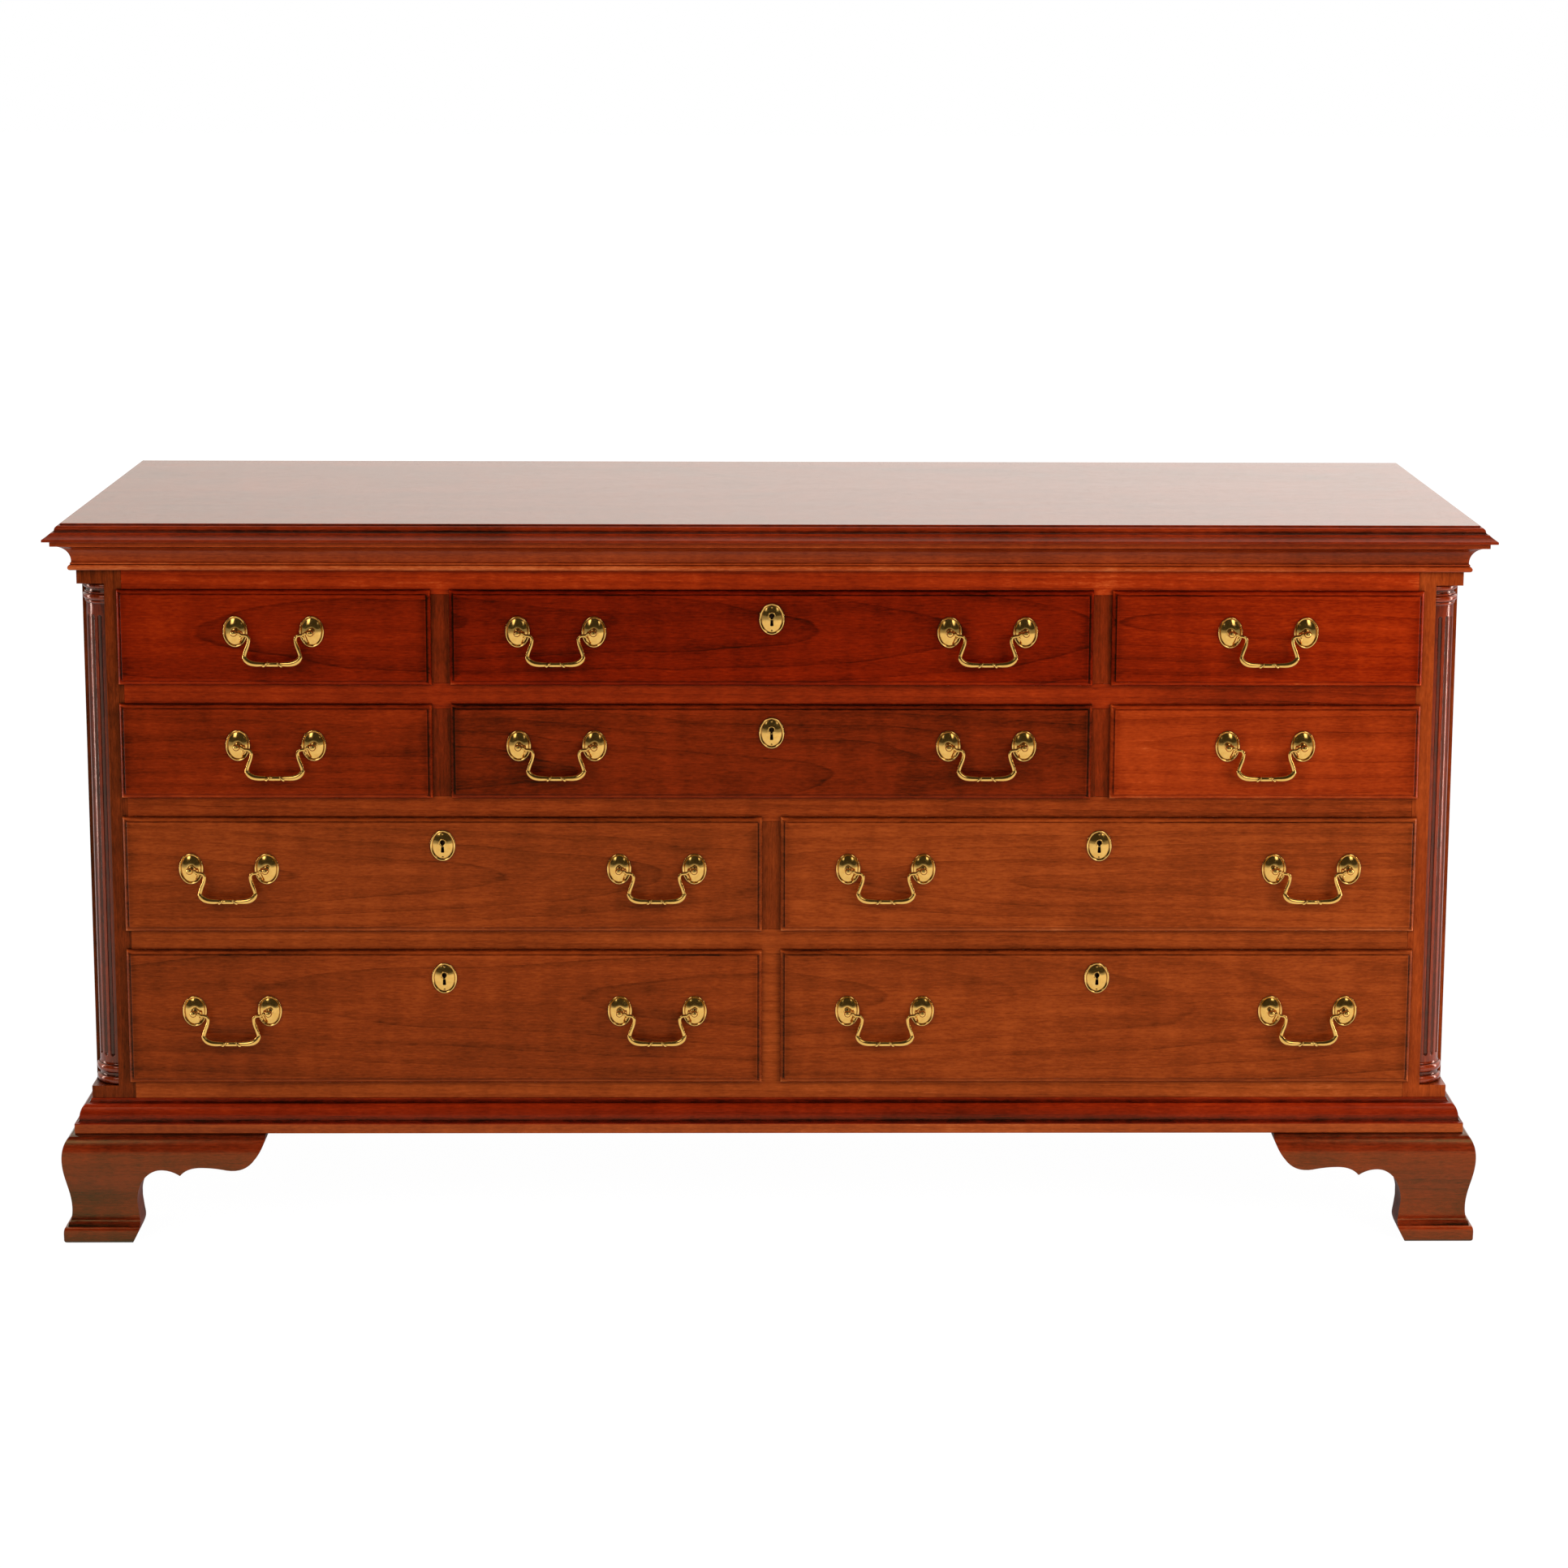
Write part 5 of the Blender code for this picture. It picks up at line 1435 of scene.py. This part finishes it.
def case_materials():
    mats = {}
    for name, (axis, brown, seed, lighter, looks) in STAINED.items():
        mats[name] = wood(f"{name}_wood", axis, stain(brown), seed, lighter=lighter, **looks)
    for name, (axis, seed, looks) in UNSTAINED.items():
        mats[name] = wood(f"{name}_wood", axis, BARE, seed, **RAW, **looks)
    return mats


def dress_nodes(mats):
    """Gives each solid that stays its wood and a fine rounding of its edges."""
    for name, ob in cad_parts.items():
        key = next((k for k in NODE_WOODS if name.startswith(k)), None)
        if key:
            ob.data.materials.clear()
            ob.data.materials.append(mats[key])
            arris(ob, SOLID_ARRIS, 60)


def build_drawers(mats):
    protos = rosette_mesh(), escutcheon_mesh(), bail_mesh()
    brass = polished_brass("brass", 5)
    rng = random.Random(17)
    for row, (low, high) in enumerate(ROWS, 1):
        for column, (left, right) in (THIRDS if row < 3 else HALVES).items():
            tag = f"row{row}_{column}"
            wide = row > 2 or column == "centre"
            centre, width, height = (left + right) / 2, right - left, high - low
            heart_rise, heart_deep = rng.uniform(*HEART_RISE), rng.uniform(*HEART_DEEP)
            lean = rng.choice((-1, 1)) * rng.uniform(*HEART_LEAN)
            heart = ((low + high) / 2 + heart_rise, CASE_FRONT + heart_deep, lean)
            brown, lighter = FRONT_STAIN[tag]
            mat = wood(
                f"front_wood_{tag}", "X", stain(brown), 100 + 7 * row + len(column),
                heart=heart, gap=rng.uniform(*RING_GAP), lighter=lighter,
                shine=FRONT_SHINE[0] + FRONT_SHINE[1] * brown)
            build_front(tag, centre, low, width, height, wide, mat, mats["bare"])
            build_hardware(tag, centre, low, width, height, wide, protos, brass)
    for mesh in protos:
        bpy.data.meshes.remove(mesh)


def main():
    build_stage()
    mats = case_materials()
    dress_nodes(mats)
    build_mouldings(mats)
    for side in (-1, 1):
        build_column(side, mats[f"column_{SIDES[side]}"])
        foot_woods = [mats["foot_x"], mats["foot_y"], mats["sawn"]]
        front_foot(side, foot_woods)
        rear_foot(side, foot_woods)
    build_drawers(mats)


main()
bpy.context.scene.view_settings.view_transform = "Standard"
bpy.context.view_layer.update()
